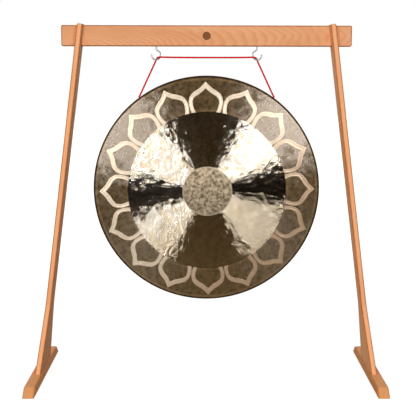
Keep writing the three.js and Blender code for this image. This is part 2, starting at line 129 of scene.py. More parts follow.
class NodeSheet:
    """A node tree with short calls that add and wire its nodes."""

    def __init__(self, tree: bpy.types.NodeTree) -> None:
        """Empty the tree and keep it."""
        self.tree = tree
        self.tree.nodes.clear()

    def add(self, kind: str, inputs: dict[str | int, Value] | None = None,
            **settings: str) -> bpy.types.Node:
        """Add a node, set its properties and wire or set its inputs.

        Args:
            kind: The node's type name, without the ShaderNode in front.
            inputs: A socket or a value for each input, by the input's name or number.
            settings: The node's own properties.

        Returns:
            The new node.
        """
        node = self.tree.nodes.new("ShaderNode" + kind)
        for name, value in settings.items():
            setattr(node, name, value)
        for key, value in (inputs or {}).items():
            port = node.inputs[key]
            if isinstance(value, Socket):
                self.tree.links.new(value, port)
            else:
                port.default_value = (*value, 1) if port.type == "RGBA" else value
        return node

    def calc(self, operation: str, *values: Socket | float) -> Socket:
        """Return the result of a Math node."""
        return self.add("Math", dict(enumerate(values)), operation=operation).outputs[0]

    def vector(self, operation: str, *values: Value) -> Socket:
        """Return the result of a Vector Math node, which is a number where it gives one.

        Args:
            operation: The node's operation.
            values: Its inputs, as sockets or vectors, with the number last for a SCALE.

        Returns:
            The output socket.
        """
        inputs = dict(enumerate(values))
        if operation == "SCALE":
            inputs["Scale"] = inputs.pop(1)
        node = self.add("VectorMath", inputs, operation=operation)
        return node.outputs["Value" if operation in ("DOT_PRODUCT", "LENGTH") else "Vector"]

    def combine(self, *parts: Socket | float) -> Socket:
        """Return the vector with these parts, and zero for those that aren't given."""
        return self.add("CombineXYZ", dict(enumerate(parts))).outputs[0]

    def parts(self, vector: Socket) -> bpy.types.NodeOutputs:
        """Return the three parts of a vector."""
        return self.add("SeparateXYZ", {0: vector}).outputs

    def place(self) -> Socket:
        """Return the place in the piece's own frame."""
        return self.add("TexCoord").outputs["Object"]

    def noise(self, place: Socket, scale: float | Point, detail: float = 2, roughness: float = 0.5,
              distortion: float = 0) -> Socket:
        """Return noise from 0 to 1.

        Args:
            place: The coordinates.
            scale: Features per metre, or one such number for each axis.
            detail: Octaves.
            roughness: How strong the fine octaves are.
            distortion: How far the noise is pulled about.

        Returns:
            The output socket.
        """
        if isinstance(scale, tuple):
            place = self.vector("MULTIPLY", place, scale)
            scale = 1
        inputs = {"Vector": place, "Scale": scale, "Detail": detail, "Roughness": roughness,
                  "Distortion": distortion}
        return self.add("TexNoise", inputs).outputs[0]

    def step(self, value: Socket, span: Span,
             result: tuple[Socket | float, Socket | float] = (0, 1)) -> Socket:
        """Return a smooth change from one value to another while the input crosses a span.

        Args:
            value: The input.
            span: The input's values where the change starts and ends.
            result: The values there.

        Returns:
            The output socket.
        """
        inputs = {"Value": value, "From Min": span[0], "From Max": span[1], "To Min": result[0],
                  "To Max": result[1]}
        return self.add("MapRange", inputs, interpolation_type="SMOOTHSTEP").outputs[0]

    def blend(self, share: Socket | float, first: Value, second: Value) -> Socket:
        """Return the mix of two colours with this share of the second."""
        return self.add("Mix", {0: share, 6: first, 7: second}, data_type="RGBA").outputs[2]

    def bump(self, height: Socket, depth: float, strength: float = 1,
             normal: Socket | None = None) -> Socket:
        """Return a normal that is bent by a height.

        Args:
            height: The height, from 0 to 1.
            depth: What a height of 1 stands for, in metres.
            strength: How much of the bend is kept.
            normal: The normal to start from, where it isn't the surface's own.

        Returns:
            The output socket.
        """
        inputs = {"Height": height, "Distance": depth, "Strength": strength}
        if normal is not None:
            inputs["Normal"] = normal
        return self.add("Bump", inputs).outputs[0]

    def by_ray(self, lit: Socket, mirrored: Socket, seen: Socket) -> Socket:
        """Return one shader for lighting, one for reflections and one for the camera's own view.

        Args:
            lit: What lights the object.
            mirrored: What shiny pieces reflect.
            seen: What the camera sees.

        Returns:
            The shader.
        """
        path = self.add("LightPath").outputs
        glossy = self.calc("MAXIMUM", path["Is Glossy Ray"], path["Is Transmission Ray"])
        shader = self.add("MixShader", {0: glossy, 1: lit, 2: mirrored}).outputs[0]
        return self.add("MixShader", {0: path["Is Camera Ray"], 1: shader, 2: seen}).outputs[0]


def dress(node_name: str, material: Material) -> str:
    """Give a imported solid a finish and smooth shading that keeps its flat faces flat.

    Args:
        node_name: The solid's name.
        material: Its finish.

    Returns:
        The solid's name.
    """
    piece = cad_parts[node_name]
    piece.data.materials.clear()
    piece.data.materials.append(material)
    piece.data.polygons.foreach_set("use_smooth", [True] * len(piece.data.polygons))
    modifier = piece.modifiers.new("even_normals", "WEIGHTED_NORMAL")
    modifier.weight = FLAT_FACE_WEIGHT
    modifier.keep_sharp = False
    return node_name


def new_piece(name: str, vertices: list | np.ndarray, faces: list, materials: list[Material],
              matrix: Matrix | None = None) -> bpy.types.Object:
    """Make a smooth mesh piece and link it to the scene.

    Args:
        name: The piece's name.
        vertices: Its vertices.
        faces: Its faces.
        materials: Its finishes.
        matrix: Its place, where its mesh has a frame of its own.

    Returns:
        The piece.
    """
    mesh = bpy.data.meshes.new(name)
    mesh.from_pydata([tuple(vertex) for vertex in vertices], [], faces)
    mesh.polygons.foreach_set("use_smooth", [True] * len(mesh.polygons))
    for material in materials:
        mesh.materials.append(material)
    mesh.update()
    piece = bpy.data.objects.new(name, mesh)
    bpy.context.scene.collection.objects.link(piece)
    if matrix is not None:
        piece.matrix_world = matrix
    return piece


# Finishes


@dataclass(frozen=True)
class Finish:
    """A finish with a name; each kind draws its own shader."""

    name: str

    def material(self) -> Material:
        """Return the finish as a new material.

        Returns:
            The material.
        """
        material = bpy.data.materials.new(self.name)
        material.use_nodes = True
        sheet = NodeSheet(material.node_tree)
        sheet.add("OutputMaterial", {"Surface": self.shader(sheet)})
        return material

    def shader(self, sheet: NodeSheet) -> Socket:
        """Draw the finish on its material's sheet and return the shader."""
        raise NotImplementedError


@dataclass(frozen=True)
class Beech(Finish):
    """Oiled beech: growth rings round a pith beside the board, flecks, darker rounded edges and painted
    shade on one given face.
    """

    centre: Point
    grain: Point
    across: Point
    through: Point
    edge_rule: EdgeRule = EdgeRule.SIDES
    gloss: float = 0.03
    roughness: Span = (0.44, 0.56)
    light: Colour = srgb(233, 166, 118)
    dark: Colour = srgb(213, 141, 90)

    pith: Span = (0.11, -0.06)
    pith_slope: Span = (0.02, 0.05)
    ring_width: float = 0.0042
    ring_strength: float = 0.2
    ring_waver: float = 0.03
    waver_scale: Point = (2.2, 9, 9)
    late_wood: Span = (0.35, 0.93)
    winter_line: Span = (1.0, 0.94)
    fade_scale: Point = (1.5, 22, 22)

    tone_scale: Point = (4, 16, 16)
    tone_span: Span = (0.35, 0.75)
    tone_share: float = 0.45

    fleck: Colour = srgb(176, 108, 60)
    fleck_scale: Point = (160, 1400, 1400)
    fleck_span: Span = (0.68, 0.78)
    fleck_share: float = 0.5

    fibre_scale: Point = (25, 900, 900)
    fibre_depth: float = 0.00012
    fibre_strength: float = 0.5

    edge: Colour = srgb(168, 90, 28)
    edge_strength: float = 0.95
    box_edge: Span = (0.02, 0.25)
    side_edge: Span = (0.01, 0.12)
    edge_patches: float = 38
    edge_patch_span: Span = (0.2, 0.75)
    edge_patch_shares: Span = (0.7, 1.0)
    edge_power: float = 4
    half_sizes: Point | None = None
    band: float = 0.0042
    band_core_share: float = 0.4
    # Painted shade: a face that looks this way is darkened towards black.
    painted_side_shade: Point | None = None
    painted_side_shade_span: Span = (0.5, 0.9)
    painted_side_shade_share: float = 0.24

    def shader(self, sheet: NodeSheet) -> Socket:
        """Draw the board's figure, its darker edges and its fibre.

        Args:
            sheet: The material's sheet.

        Returns:
            The shader.
        """
        where = sheet.add("TexCoord").outputs
        place = sheet.vector("SUBTRACT", where["Object"], self.centre)
        axes = (self.grain, self.across, self.through)
        places = [sheet.vector("DOT_PRODUCT", place, axis) for axis in axes]
        board = sheet.combine(*places)
        colour = self.figure(sheet, board, places)
        mask = self.edge_mask(sheet, where["Normal"])
        if self.half_sizes is not None:
            mask = sheet.calc("MAXIMUM", mask, self.border_mask(sheet, places))
        patches = sheet.noise(board, self.edge_patches, detail=3, roughness=0.6)
        patchy = sheet.step(patches, self.edge_patch_span, self.edge_patch_shares)
        strength = sheet.calc("MULTIPLY", sheet.calc("MULTIPLY", mask, patchy), self.edge_strength)
        colour = sheet.blend(strength, colour, self.edge)
        # Painted shade on the face that looks towards the given direction.
        if self.painted_side_shade is not None:
            facing = sheet.vector("DOT_PRODUCT", where["Normal"], self.painted_side_shade)
            share = sheet.step(facing, self.painted_side_shade_span, (0, self.painted_side_shade_share))
            colour = sheet.blend(share, colour, BLACK)
        fibre = sheet.noise(board, self.fibre_scale, detail=3, roughness=0.6)
        return sheet.add("BsdfPrincipled", {
            "Base Color": colour,
            "Roughness": sheet.step(fibre, MIDDLE, self.roughness),
            "Specular IOR Level": self.gloss,
            "Normal": sheet.bump(fibre, self.fibre_depth, self.fibre_strength),
        }).outputs[0]

    def figure(self, sheet: NodeSheet, board: Socket, places: list[Socket]) -> Socket:
        """Draw the growth rings, the flecks and the slow drift in tone.

        Args:
            sheet: The material's sheet.
            board: The place in the board's frame.
            places: The place along the grain, across the face and through the board.

        Returns:
            The colour.
        """
        along, *section = places
        offsets = []
        for place, start, slope in zip(section, self.pith, self.pith_slope):
            drift = sheet.calc("MULTIPLY", along, slope)
            offsets.append(sheet.calc("SUBTRACT", sheet.calc("SUBTRACT", place, start), drift))
        radius = sheet.vector("LENGTH", sheet.combine(*offsets))
        waver = sheet.calc("SUBTRACT", sheet.noise(board, self.waver_scale), 0.5)
        radius = sheet.calc("MULTIPLY_ADD", waver, self.ring_waver, radius)
        ring = sheet.calc("FRACT", sheet.calc("DIVIDE", radius, self.ring_width))
        late = sheet.calc("MULTIPLY", sheet.step(ring, self.late_wood),
                          sheet.step(ring, self.winter_line))
        fade = sheet.step(sheet.noise(board, self.fade_scale, detail=1), MIDDLE)
        fade = sheet.calc("MULTIPLY_ADD", fade, self.ring_strength, self.ring_strength / 2)
        colour = sheet.blend(sheet.calc("MULTIPLY", late, fade), self.light, self.dark)
        tone = sheet.noise(board, self.tone_scale, detail=3, roughness=0.55)
        colour = sheet.blend(sheet.step(tone, self.tone_span, (0, self.tone_share)), colour, self.dark)
        flecks = sheet.noise(board, self.fleck_scale, detail=1)
        share = sheet.step(flecks, self.fleck_span, (0, self.fleck_share))
        return sheet.blend(share, colour, self.fleck)

    def edge_mask(self, sheet: NodeSheet, normal: Socket) -> Socket:
        """Return 1 on the rounded edges and 0 on the faces.

        Args:
            sheet: The material's sheet.
            normal: The surface normal in the board's frame.

        Returns:
            The output socket.
        """
        if self.edge_rule is EdgeRule.SIDES:
            facing = sheet.vector("DOT_PRODUCT", normal, self.through)
            square = sheet.calc("MULTIPLY", facing, facing)
            rest = sheet.calc("SUBTRACT", 1.0, square)
            return sheet.step(sheet.calc("MULTIPLY", square, rest), self.side_edge)
        rest = 1.0
        for axis in (self.grain, self.across, self.through):
            facing = sheet.calc("ABSOLUTE", sheet.vector("DOT_PRODUCT", normal, axis))
            rest = sheet.calc("SUBTRACT", rest, sheet.calc("POWER", facing, self.edge_power))
        return sheet.step(rest, self.box_edge)

    def border_mask(self, sheet: NodeSheet, places: list[Socket]) -> Socket:
        """Return 1 on the faces' borders, which darken like the rounded edges, and 0 inside them.

        Args:
            sheet: The material's sheet.
            places: The place along the grain, across the face and through the board.

        Returns:
            The output socket.
        """
        # A face lies on one border of the board by itself, which doesn't count
        total = -1.0
        for place, half in zip(places, self.half_sizes):
            inset = sheet.calc("SUBTRACT", half, sheet.calc("ABSOLUTE", place))
            rubbed = sheet.step(inset, (self.band, self.band * self.band_core_share))
            total = sheet.calc("ADD", rubbed, total)
        return total


@dataclass(frozen=True)
class DarkInlay(Finish):
    """Dark end-grain wood of the round inlay."""

    centre: Point
    light: Colour = srgb(146, 94, 54)
    dark: Colour = srgb(110, 68, 36)
    pore: Colour = srgb(60, 36, 20)
    gloss: float = 0.1
    roughness: Span = (0.4, 0.52)
    streak_scale: Point = (120, 900, 900)
    streak_depth: float = 0.00008
    pore_scale: float = 2600
    pore_span: Span = (0.62, 0.72)
    pore_share: float = 0.6

    def shader(self, sheet: NodeSheet) -> Socket:
        """Draw the streaks and the pores.

        Args:
            sheet: The material's sheet.

        Returns:
            The shader.
        """
        place = sheet.vector("SUBTRACT", sheet.place(), self.centre)
        streaks = sheet.noise(place, self.streak_scale, detail=3, roughness=0.6)
        pores = sheet.noise(place, self.pore_scale, detail=1)
        colour = sheet.blend(sheet.step(streaks, MIDDLE), self.light, self.dark)
        colour = sheet.blend(sheet.step(pores, self.pore_span, (0, self.pore_share)), colour, self.pore)
        return sheet.add("BsdfPrincipled", {
            "Base Color": colour,
            "Roughness": sheet.step(streaks, MIDDLE, self.roughness),
            "Specular IOR Level": self.gloss,
            "Normal": sheet.bump(streaks, self.streak_depth, strength=0.5),
        }).outputs[0]


@dataclass(frozen=True)
class PlatedSteel(Finish):
    """Zinc-plated steel with a fine drawn texture and small dull spots."""

    colour: Colour = srgb(190, 194, 192)
    dull: Colour = srgb(150, 154, 150)
    metallic: float = 1.0
    roughness: Span = (0.3, 0.45)
    spot_scale: float = 700
    dull_span: Span = (0.4, 0.7)
    rough_span: Span = (0.35, 0.7)
    drawn_scale: Point = (2500, 2500, 900)
    drawn_depth: float = 0.00003

    def shader(self, sheet: NodeSheet) -> Socket:
        """Draw the spots and the drawn texture.

        Args:
            sheet: The material's sheet.

        Returns:
            The shader.
        """
        place = sheet.place()
        spots = sheet.noise(place, self.spot_scale, detail=3, roughness=0.6)
        drawn = sheet.noise(place, self.drawn_scale)
        return sheet.add("BsdfPrincipled", {
            "Base Color": sheet.blend(sheet.step(spots, self.dull_span), self.colour, self.dull),
            "Metallic": self.metallic,
            "Roughness": sheet.step(spots, self.rough_span, self.roughness),
            "Normal": sheet.bump(drawn, self.drawn_depth, strength=0.4),
        }).outputs[0]


@dataclass(frozen=True)
class BraidedCord(Finish):
    """Dyed braided cord: two sets of plaited strands with a soft nap."""

    colour: Colour = srgb(232, 9, 17)
    # Painted shade: the darker red of the valleys between strands.
    shade: Colour = srgb(194, 3, 9)
    nap: Colour = srgb(232, 30, 34)
    gloss: float = 0.04
    roughness: float = 0.9
    strands: int = 8
    plait_length: float = 0.0065
    plait_span: Span = (0.02, 0.35)
    plait_depth: float = 0.0003
    plait_strength: float = 0.6
    nap_scale: float = 4200
    nap_span: Span = (0.4, 0.75)
    nap_share: float = 0.2
    nap_height: float = 0.3

    def shader(self, sheet: NodeSheet) -> Socket:
        """Draw the plait round and along the cord, and its nap.

        Args:
            sheet: The material's sheet.

        Returns:
            The shader.
        """
        around, along, _ = sheet.parts(sheet.add("UVMap", uv_map="lay").outputs[0])
        turn = sheet.calc("MULTIPLY", around, FULL_TURN * self.strands / 2)
        travel = sheet.calc("MULTIPLY", along, FULL_TURN / self.plait_length)
        first = sheet.calc("SINE", sheet.calc("ADD", turn, travel))
        second = sheet.calc("SINE", sheet.calc("SUBTRACT", turn, travel))
        weave = sheet.calc("ABSOLUTE", sheet.calc("MULTIPLY", first, second))
        fuzz = sheet.noise(sheet.place(), self.nap_scale)
        # Painted shade: the valleys between the plaited strands take the darker red.
        colour = sheet.blend(sheet.step(weave, self.plait_span), self.shade, self.colour)
        colour = sheet.blend(sheet.step(fuzz, self.nap_span, (0, self.nap_share)), colour, self.nap)
        height = sheet.calc("ADD", weave, sheet.calc("MULTIPLY", fuzz, self.nap_height))
        return sheet.add("BsdfPrincipled", {
            "Base Color": colour,
            "Roughness": self.roughness,
            "Specular IOR Level": self.gloss,
            "Normal": sheet.bump(height, self.plait_depth, self.plait_strength),
        }).outputs[0]


@dataclass(frozen=True)
class GongMetal(Finish):
    """Lathe-turned gong bronze: fine rings whose flanks throw light out along the radius."""

    bright: Colour
    deep: Colour
    roughness: float = 0.2
    dull_share: float = 1.15
    anisotropy: float = 1.0
    anisotropy_turn: float = 0.25
    metallic: float = 1.0
    index: float = 1.5
    gloss_tint: Colour = WHITE

    groove_pitch: float = 0.0011
    groove_slope: float = 0.36
    groove_bow: float = 0.35
    groove_wander: float = 2
    wander_scale: float = 90
    wear: float = 0.3
    wear_size: float = 0.016

    ripple_slope: float = 0.05
    ripple_width: float = 0.010
    ripple_length: float = 0.03
    ripple_radius: float = 0.18
    ripple_detail: float = 3
    ripple_gain: float = 4
    dent_size: float = 0.016
    dent_depth: float = 0.0002

    tone_span: Span = (0.36, 0.64)
    ring_scale: float = 260
    mottle_size: float = 0.02
    mottle_detail: float = 5
    mottle_share: float = 0.7

    def shader(self, sheet: NodeSheet) -> Socket:
        """Draw the metal's tones and its turned and hammered surface.

        Args:
            sheet: The material's sheet.

        Returns:
            The shader.
        """
        place = sheet.place()
        flat = sheet.vector("MULTIPLY", place, (1, 0, 1))
        radius = sheet.vector("LENGTH", flat)
        mottle = sheet.noise(place, 1 / self.mottle_size, self.mottle_detail, roughness=0.62,
                             distortion=0.4)
        rings = sheet.noise(sheet.combine(radius), self.ring_scale, detail=3, roughness=0.7)
        share = sheet.calc("ADD", sheet.calc("MULTIPLY", mottle, self.mottle_share),
                           sheet.calc("MULTIPLY", rings, 1 - self.mottle_share))
        colour = sheet.blend(sheet.step(share, self.tone_span), self.deep, self.bright)
        rough = (self.roughness, self.roughness * self.dull_share)
        outward = sheet.vector("NORMALIZE", flat)
        return sheet.add("BsdfPrincipled", {
            "Base Color": self.tint(sheet, colour, place),
            "Metallic": self.metal_share(sheet, place),
            "Roughness": sheet.step(mottle, MIDDLE, rough),
            "IOR": self.index,
            "Specular Tint": self.gloss_tint,
            "Anisotropic": self.anisotropy,
            "Anisotropic Rotation": self.anisotropy_turn,
            "Normal": self.turned_normal(sheet, place, radius, outward),
            "Tangent": sheet.add("Tangent", direction_type="RADIAL", axis="Y").outputs[0],
        }).outputs[0]

    def turned_normal(self, sheet: NodeSheet, place: Socket, radius: Socket,
                      outward: Socket) -> Socket:
        """Tip the normal along the radius as the turned rings do and sideways as the ripples do.

        Args:
            sheet: The material's sheet.
            place: The place in the gong's frame.
            radius: The distance from the gong's middle.
            outward: The direction away from the middle.

        Returns:
            The normal.
        """
        wander = sheet.noise(sheet.combine(radius), self.wander_scale, detail=1)
        wander = sheet.calc("MULTIPLY", wander, self.groove_wander)
        turns = sheet.calc("MULTIPLY_ADD", radius, 1 / self.groove_pitch, wander)
        even = sheet.calc("MULTIPLY_ADD", sheet.calc("FRACT", turns), 2, -1)
        bow = sheet.calc("MULTIPLY_ADD", sheet.calc("MULTIPLY", even, even), self.groove_bow,
                         1 - self.groove_bow)
        worn = sheet.noise(place, 1 / self.wear_size, detail=3, roughness=0.6, distortion=0.5)
        slopes = (self.groove_slope * (1 - self.wear), self.groove_slope * (1 + self.wear))
        radial_tilt = sheet.calc("MULTIPLY", sheet.calc("MULTIPLY", even, bow),
                                 sheet.step(worn, MIDDLE, slopes))
        ripple = sheet.calc("SUBTRACT", self.ripples(sheet, radius, outward), 0.5)
        side_tilt = sheet.calc("MULTIPLY", ripple, self.ripple_gain * self.ripple_slope)
        around = sheet.vector("CROSS_PRODUCT", outward, Y_AXIS)
        lean = sheet.vector("ADD", sheet.vector("SCALE", outward, radial_tilt),
                            sheet.vector("SCALE", around, side_tilt))
        lean = sheet.add("VectorTransform", {0: lean}, vector_type="VECTOR",
                         convert_from="OBJECT", convert_to="WORLD").outputs[0]
        tipped = sheet.vector("ADD", sheet.add("NewGeometry").outputs["Normal"], lean)
        tipped = sheet.vector("NORMALIZE", tipped)
        return sheet.bump(sheet.noise(place, 1 / self.dent_size), self.dent_depth, normal=tipped)

    def ripples(self, sheet: NodeSheet, radius: Socket, outward: Socket) -> Socket:
        """Return the hammer ripples, long along the radius and narrow round the gong, from 0 to 1.

        Args:
            sheet: The material's sheet.
            radius: The distance from the gong's middle.
            outward: The direction away from the middle.

        Returns:
            The output socket.
        """
        around = sheet.vector("SCALE", outward, self.ripple_radius / self.ripple_width)
        along = sheet.calc("MULTIPLY", radius, 1 / self.ripple_length)
        polar = sheet.vector("ADD", around, sheet.combine(0, along))
        return sheet.noise(polar, 1, self.ripple_detail, roughness=0.66, distortion=0.5)

    def metal_share(self, sheet: NodeSheet, place: Socket) -> Socket | float:
        """Return how metallic the surface is; a hazy finish takes some of it away."""
        return self.metallic

    def tint(self, sheet: NodeSheet, colour: Socket, place: Socket) -> Socket:
        """Return the colour as it is; finishes with marks of their own change it here."""
        return colour

    def share_towards(self, sheet: NodeSheet, place: Socket, direction: Span, span: Span,
                      most: Socket | float) -> Socket:
        """Return a share that grows from nothing towards one side of the gong.

        Args:
            sheet: The material's sheet.
            place: The place in the gong's frame.
            direction: The side, as a direction to the right and up.
            span: Where along that direction the share starts and stops growing.
            most: The share beyond that.

        Returns:
            The output socket.
        """
        offset = sheet.vector("DOT_PRODUCT", place, (direction[0], 0, direction[1]))
        return sheet.step(offset, span, (0, most))


@dataclass(frozen=True)
class HazyMetal(GongMetal):
    """Bronze with a thin patchy haze, stronger on the left, and painted light that whitens it at the
    upper left.
    """

    haze: Span = (0.008, 0.0005)
    haze_reach: Span = (-0.05, 0.25)
    haze_drift: float = 0.2
    drift_scale: float = 12
    haze_patch: float = 0.9
    patch_scale: float = 170
    patch_span: Span = (0.38, 0.62)
    # Painted light: a whiter tone laid on towards the upper left.
    painted_light_tone: Colour = srgb(248, 242, 232)
    painted_light_share: float = 0.6
    painted_light_towards: Span = (-0.5, 0.87)
    painted_light_span: Span = (-0.12, 0.02)
    speck_scale: float = 60
    speck_span: Span = (0.34, 0.58)

    def metal_share(self, sheet: NodeSheet, place: Socket) -> Socket | float:
        """Return how metallic the surface is; the haze takes some of it away.

        Args:
            sheet: The material's sheet.
            place: The place in the gong's frame.

        Returns:
            The output socket.
        """
        drift = sheet.noise(place, self.drift_scale)
        drift = sheet.calc("MULTIPLY_ADD", drift, self.haze_drift, sheet.parts(place)[0])
        patches = sheet.noise(place, self.patch_scale, detail=3, roughness=0.65)
        patchy = sheet.step(patches, self.patch_span, (1 - self.haze_patch, 1 + self.haze_patch))
        haze = sheet.calc("MULTIPLY", sheet.step(drift, self.haze_reach, self.haze), patchy)
        return sheet.calc("SUBTRACT", 1, haze)

    def tint(self, sheet: NodeSheet, colour: Socket, place: Socket) -> Socket:
        """Whiten the upper left side as painted light, all but its specks.

        Args:
            sheet: The material's sheet.
            colour: The colour so far.
            place: The place in the gong's frame.

        Returns:
            The colour.
        """
        # Painted light: whiten the base colour towards the upper left, so its reflections read brighter
        # there.
        specks = sheet.noise(place, self.speck_scale, distortion=0.6)
        most = sheet.step(specks, self.speck_span, (0, self.painted_light_share))
        share = self.share_towards(sheet, place, self.painted_light_towards, self.painted_light_span, most)
        return sheet.blend(share, colour, self.painted_light_tone)


@dataclass(frozen=True)
class RubbedRing:
    """A circle on the gong that handling has rubbed: its radius, width and middle."""

    radius: float
    width: float
    shift: Span = (0.0, 0.0)


@dataclass(frozen=True)
class RubbedMetal(GongMetal):
    """Bronze with rubbed rings of another tone, and painted shade that darkens it towards one side."""

    rubbed: Colour = srgb(170, 132, 86)
    rubbed_share: Span = (0.3, 0.9)
    rubbed_scale: float = 30
    rings: tuple[RubbedRing, ...] = ()
    ring_core_share: float = 0.3
    # Painted shade: how strong it is, its tone, the side it darkens and where it starts.
    painted_shade: float = 0.0
    painted_shade_tone: Colour = srgb(40, 24, 4)
    painted_shade_towards: Span = (0.0, -1.0)
    painted_shade_span: Span = (-0.1, 0.1)

    def tint(self, sheet: NodeSheet, colour: Socket, place: Socket) -> Socket:
        """Rub the rings to their own tone and lay painted shade on one side.

        Args:
            sheet: The material's sheet.
            colour: The colour so far.
            place: The place in the gong's frame.

        Returns:
            The colour.
        """
        patchy = sheet.step(sheet.noise(place, self.rubbed_scale, detail=3), MIDDLE, self.rubbed_share)
        for ring in self.rings:
            shifted = sheet.vector("SUBTRACT", place, (ring.shift[0], 0, ring.shift[1]))
            distance = sheet.vector("LENGTH", sheet.vector("MULTIPLY", shifted, (1, 0, 1)))
            away = sheet.calc("ABSOLUTE", sheet.calc("SUBTRACT", distance, ring.radius))
            line = sheet.step(away, (ring.width, ring.width * self.ring_core_share))
            colour = sheet.blend(sheet.calc("MULTIPLY", line, patchy), colour, self.rubbed)
        # Painted shade: darken the colour towards one side of the gong.
        share = self.share_towards(sheet, place, self.painted_shade_towards, self.painted_shade_span, self.painted_shade)
        return sheet.blend(share, colour, self.painted_shade_tone)


@dataclass(frozen=True)
class StudioFloor(Finish):
    """White paper floor that keeps a faint shadow and mirrors a dim room in the metal."""

    paper: Colour = (0.26, 0.26, 0.26)
    paper_fleck: Colour = (0.22, 0.22, 0.22)
    fleck_scale: float = 300
    fleck_share: float = 0.05
    roughness: float = 0.9
    glow: float = 0.86
    glow_reach: Span = (1.0, 2.6)
    dark: Colour = (0.004, 0.002, 0.001)
    shade: Colour = (0.2, 0.14, 0.068)
    shade_reach: Span = (-1.4, -0.8)
    light: Colour = (0.5, 0.42, 0.32)
    light_reach: Span = (-0.3, 0.2)

    def shader(self, sheet: NodeSheet) -> Socket:
        """Draw the paper, its glow towards the horizon and what the metal mirrors of it.

        Args:
            sheet: The material's sheet.

        Returns:
            The shader.
        """
        where = sheet.add("NewGeometry").outputs["Position"]
        flecks = sheet.step(sheet.noise(where, self.fleck_scale), MIDDLE, (0, self.fleck_share))
        diffuse = sheet.add("BsdfPrincipled", {
            "Base Color": sheet.blend(flecks, self.paper, self.paper_fleck),
            "Roughness": self.roughness,
            "Specular IOR Level": 0.0,
        }).outputs[0]
        glow = sheet.step(sheet.vector("LENGTH", where), self.glow_reach, (self.glow, 1.0))
        light = sheet.add("Emission", {"Color": WHITE, "Strength": glow}).outputs[0]
        seen = sheet.add("AddShader", {0: diffuse, 1: light}).outputs[0]
        depth = sheet.parts(where)[1]
        tone = sheet.blend(sheet.step(depth, self.shade_reach), self.dark, self.shade)
        tone = sheet.blend(sheet.step(depth, self.light_reach), tone, self.light)
        mirrored = sheet.add("Emission", {"Color": tone, "Strength": 1.0}).outputs[0]
        return sheet.by_ray(diffuse, mirrored, seen)


# Sub-assemblies


@dataclass(frozen=True)
class Softbox:
    """One softbox: its side, direction, how far its long side slants down, size and radiance."""

    side: Side
    azimuth: float
    height: float
    slant: float
    length: float
    radiance: float
    width: float = 0.5


@dataclass(frozen=True)
class Fill:
    """Soft light from one side of the room: the axis, its sign, how narrow it is, its strength."""

    axis: int
    sign: int
    power: float
    strength: float


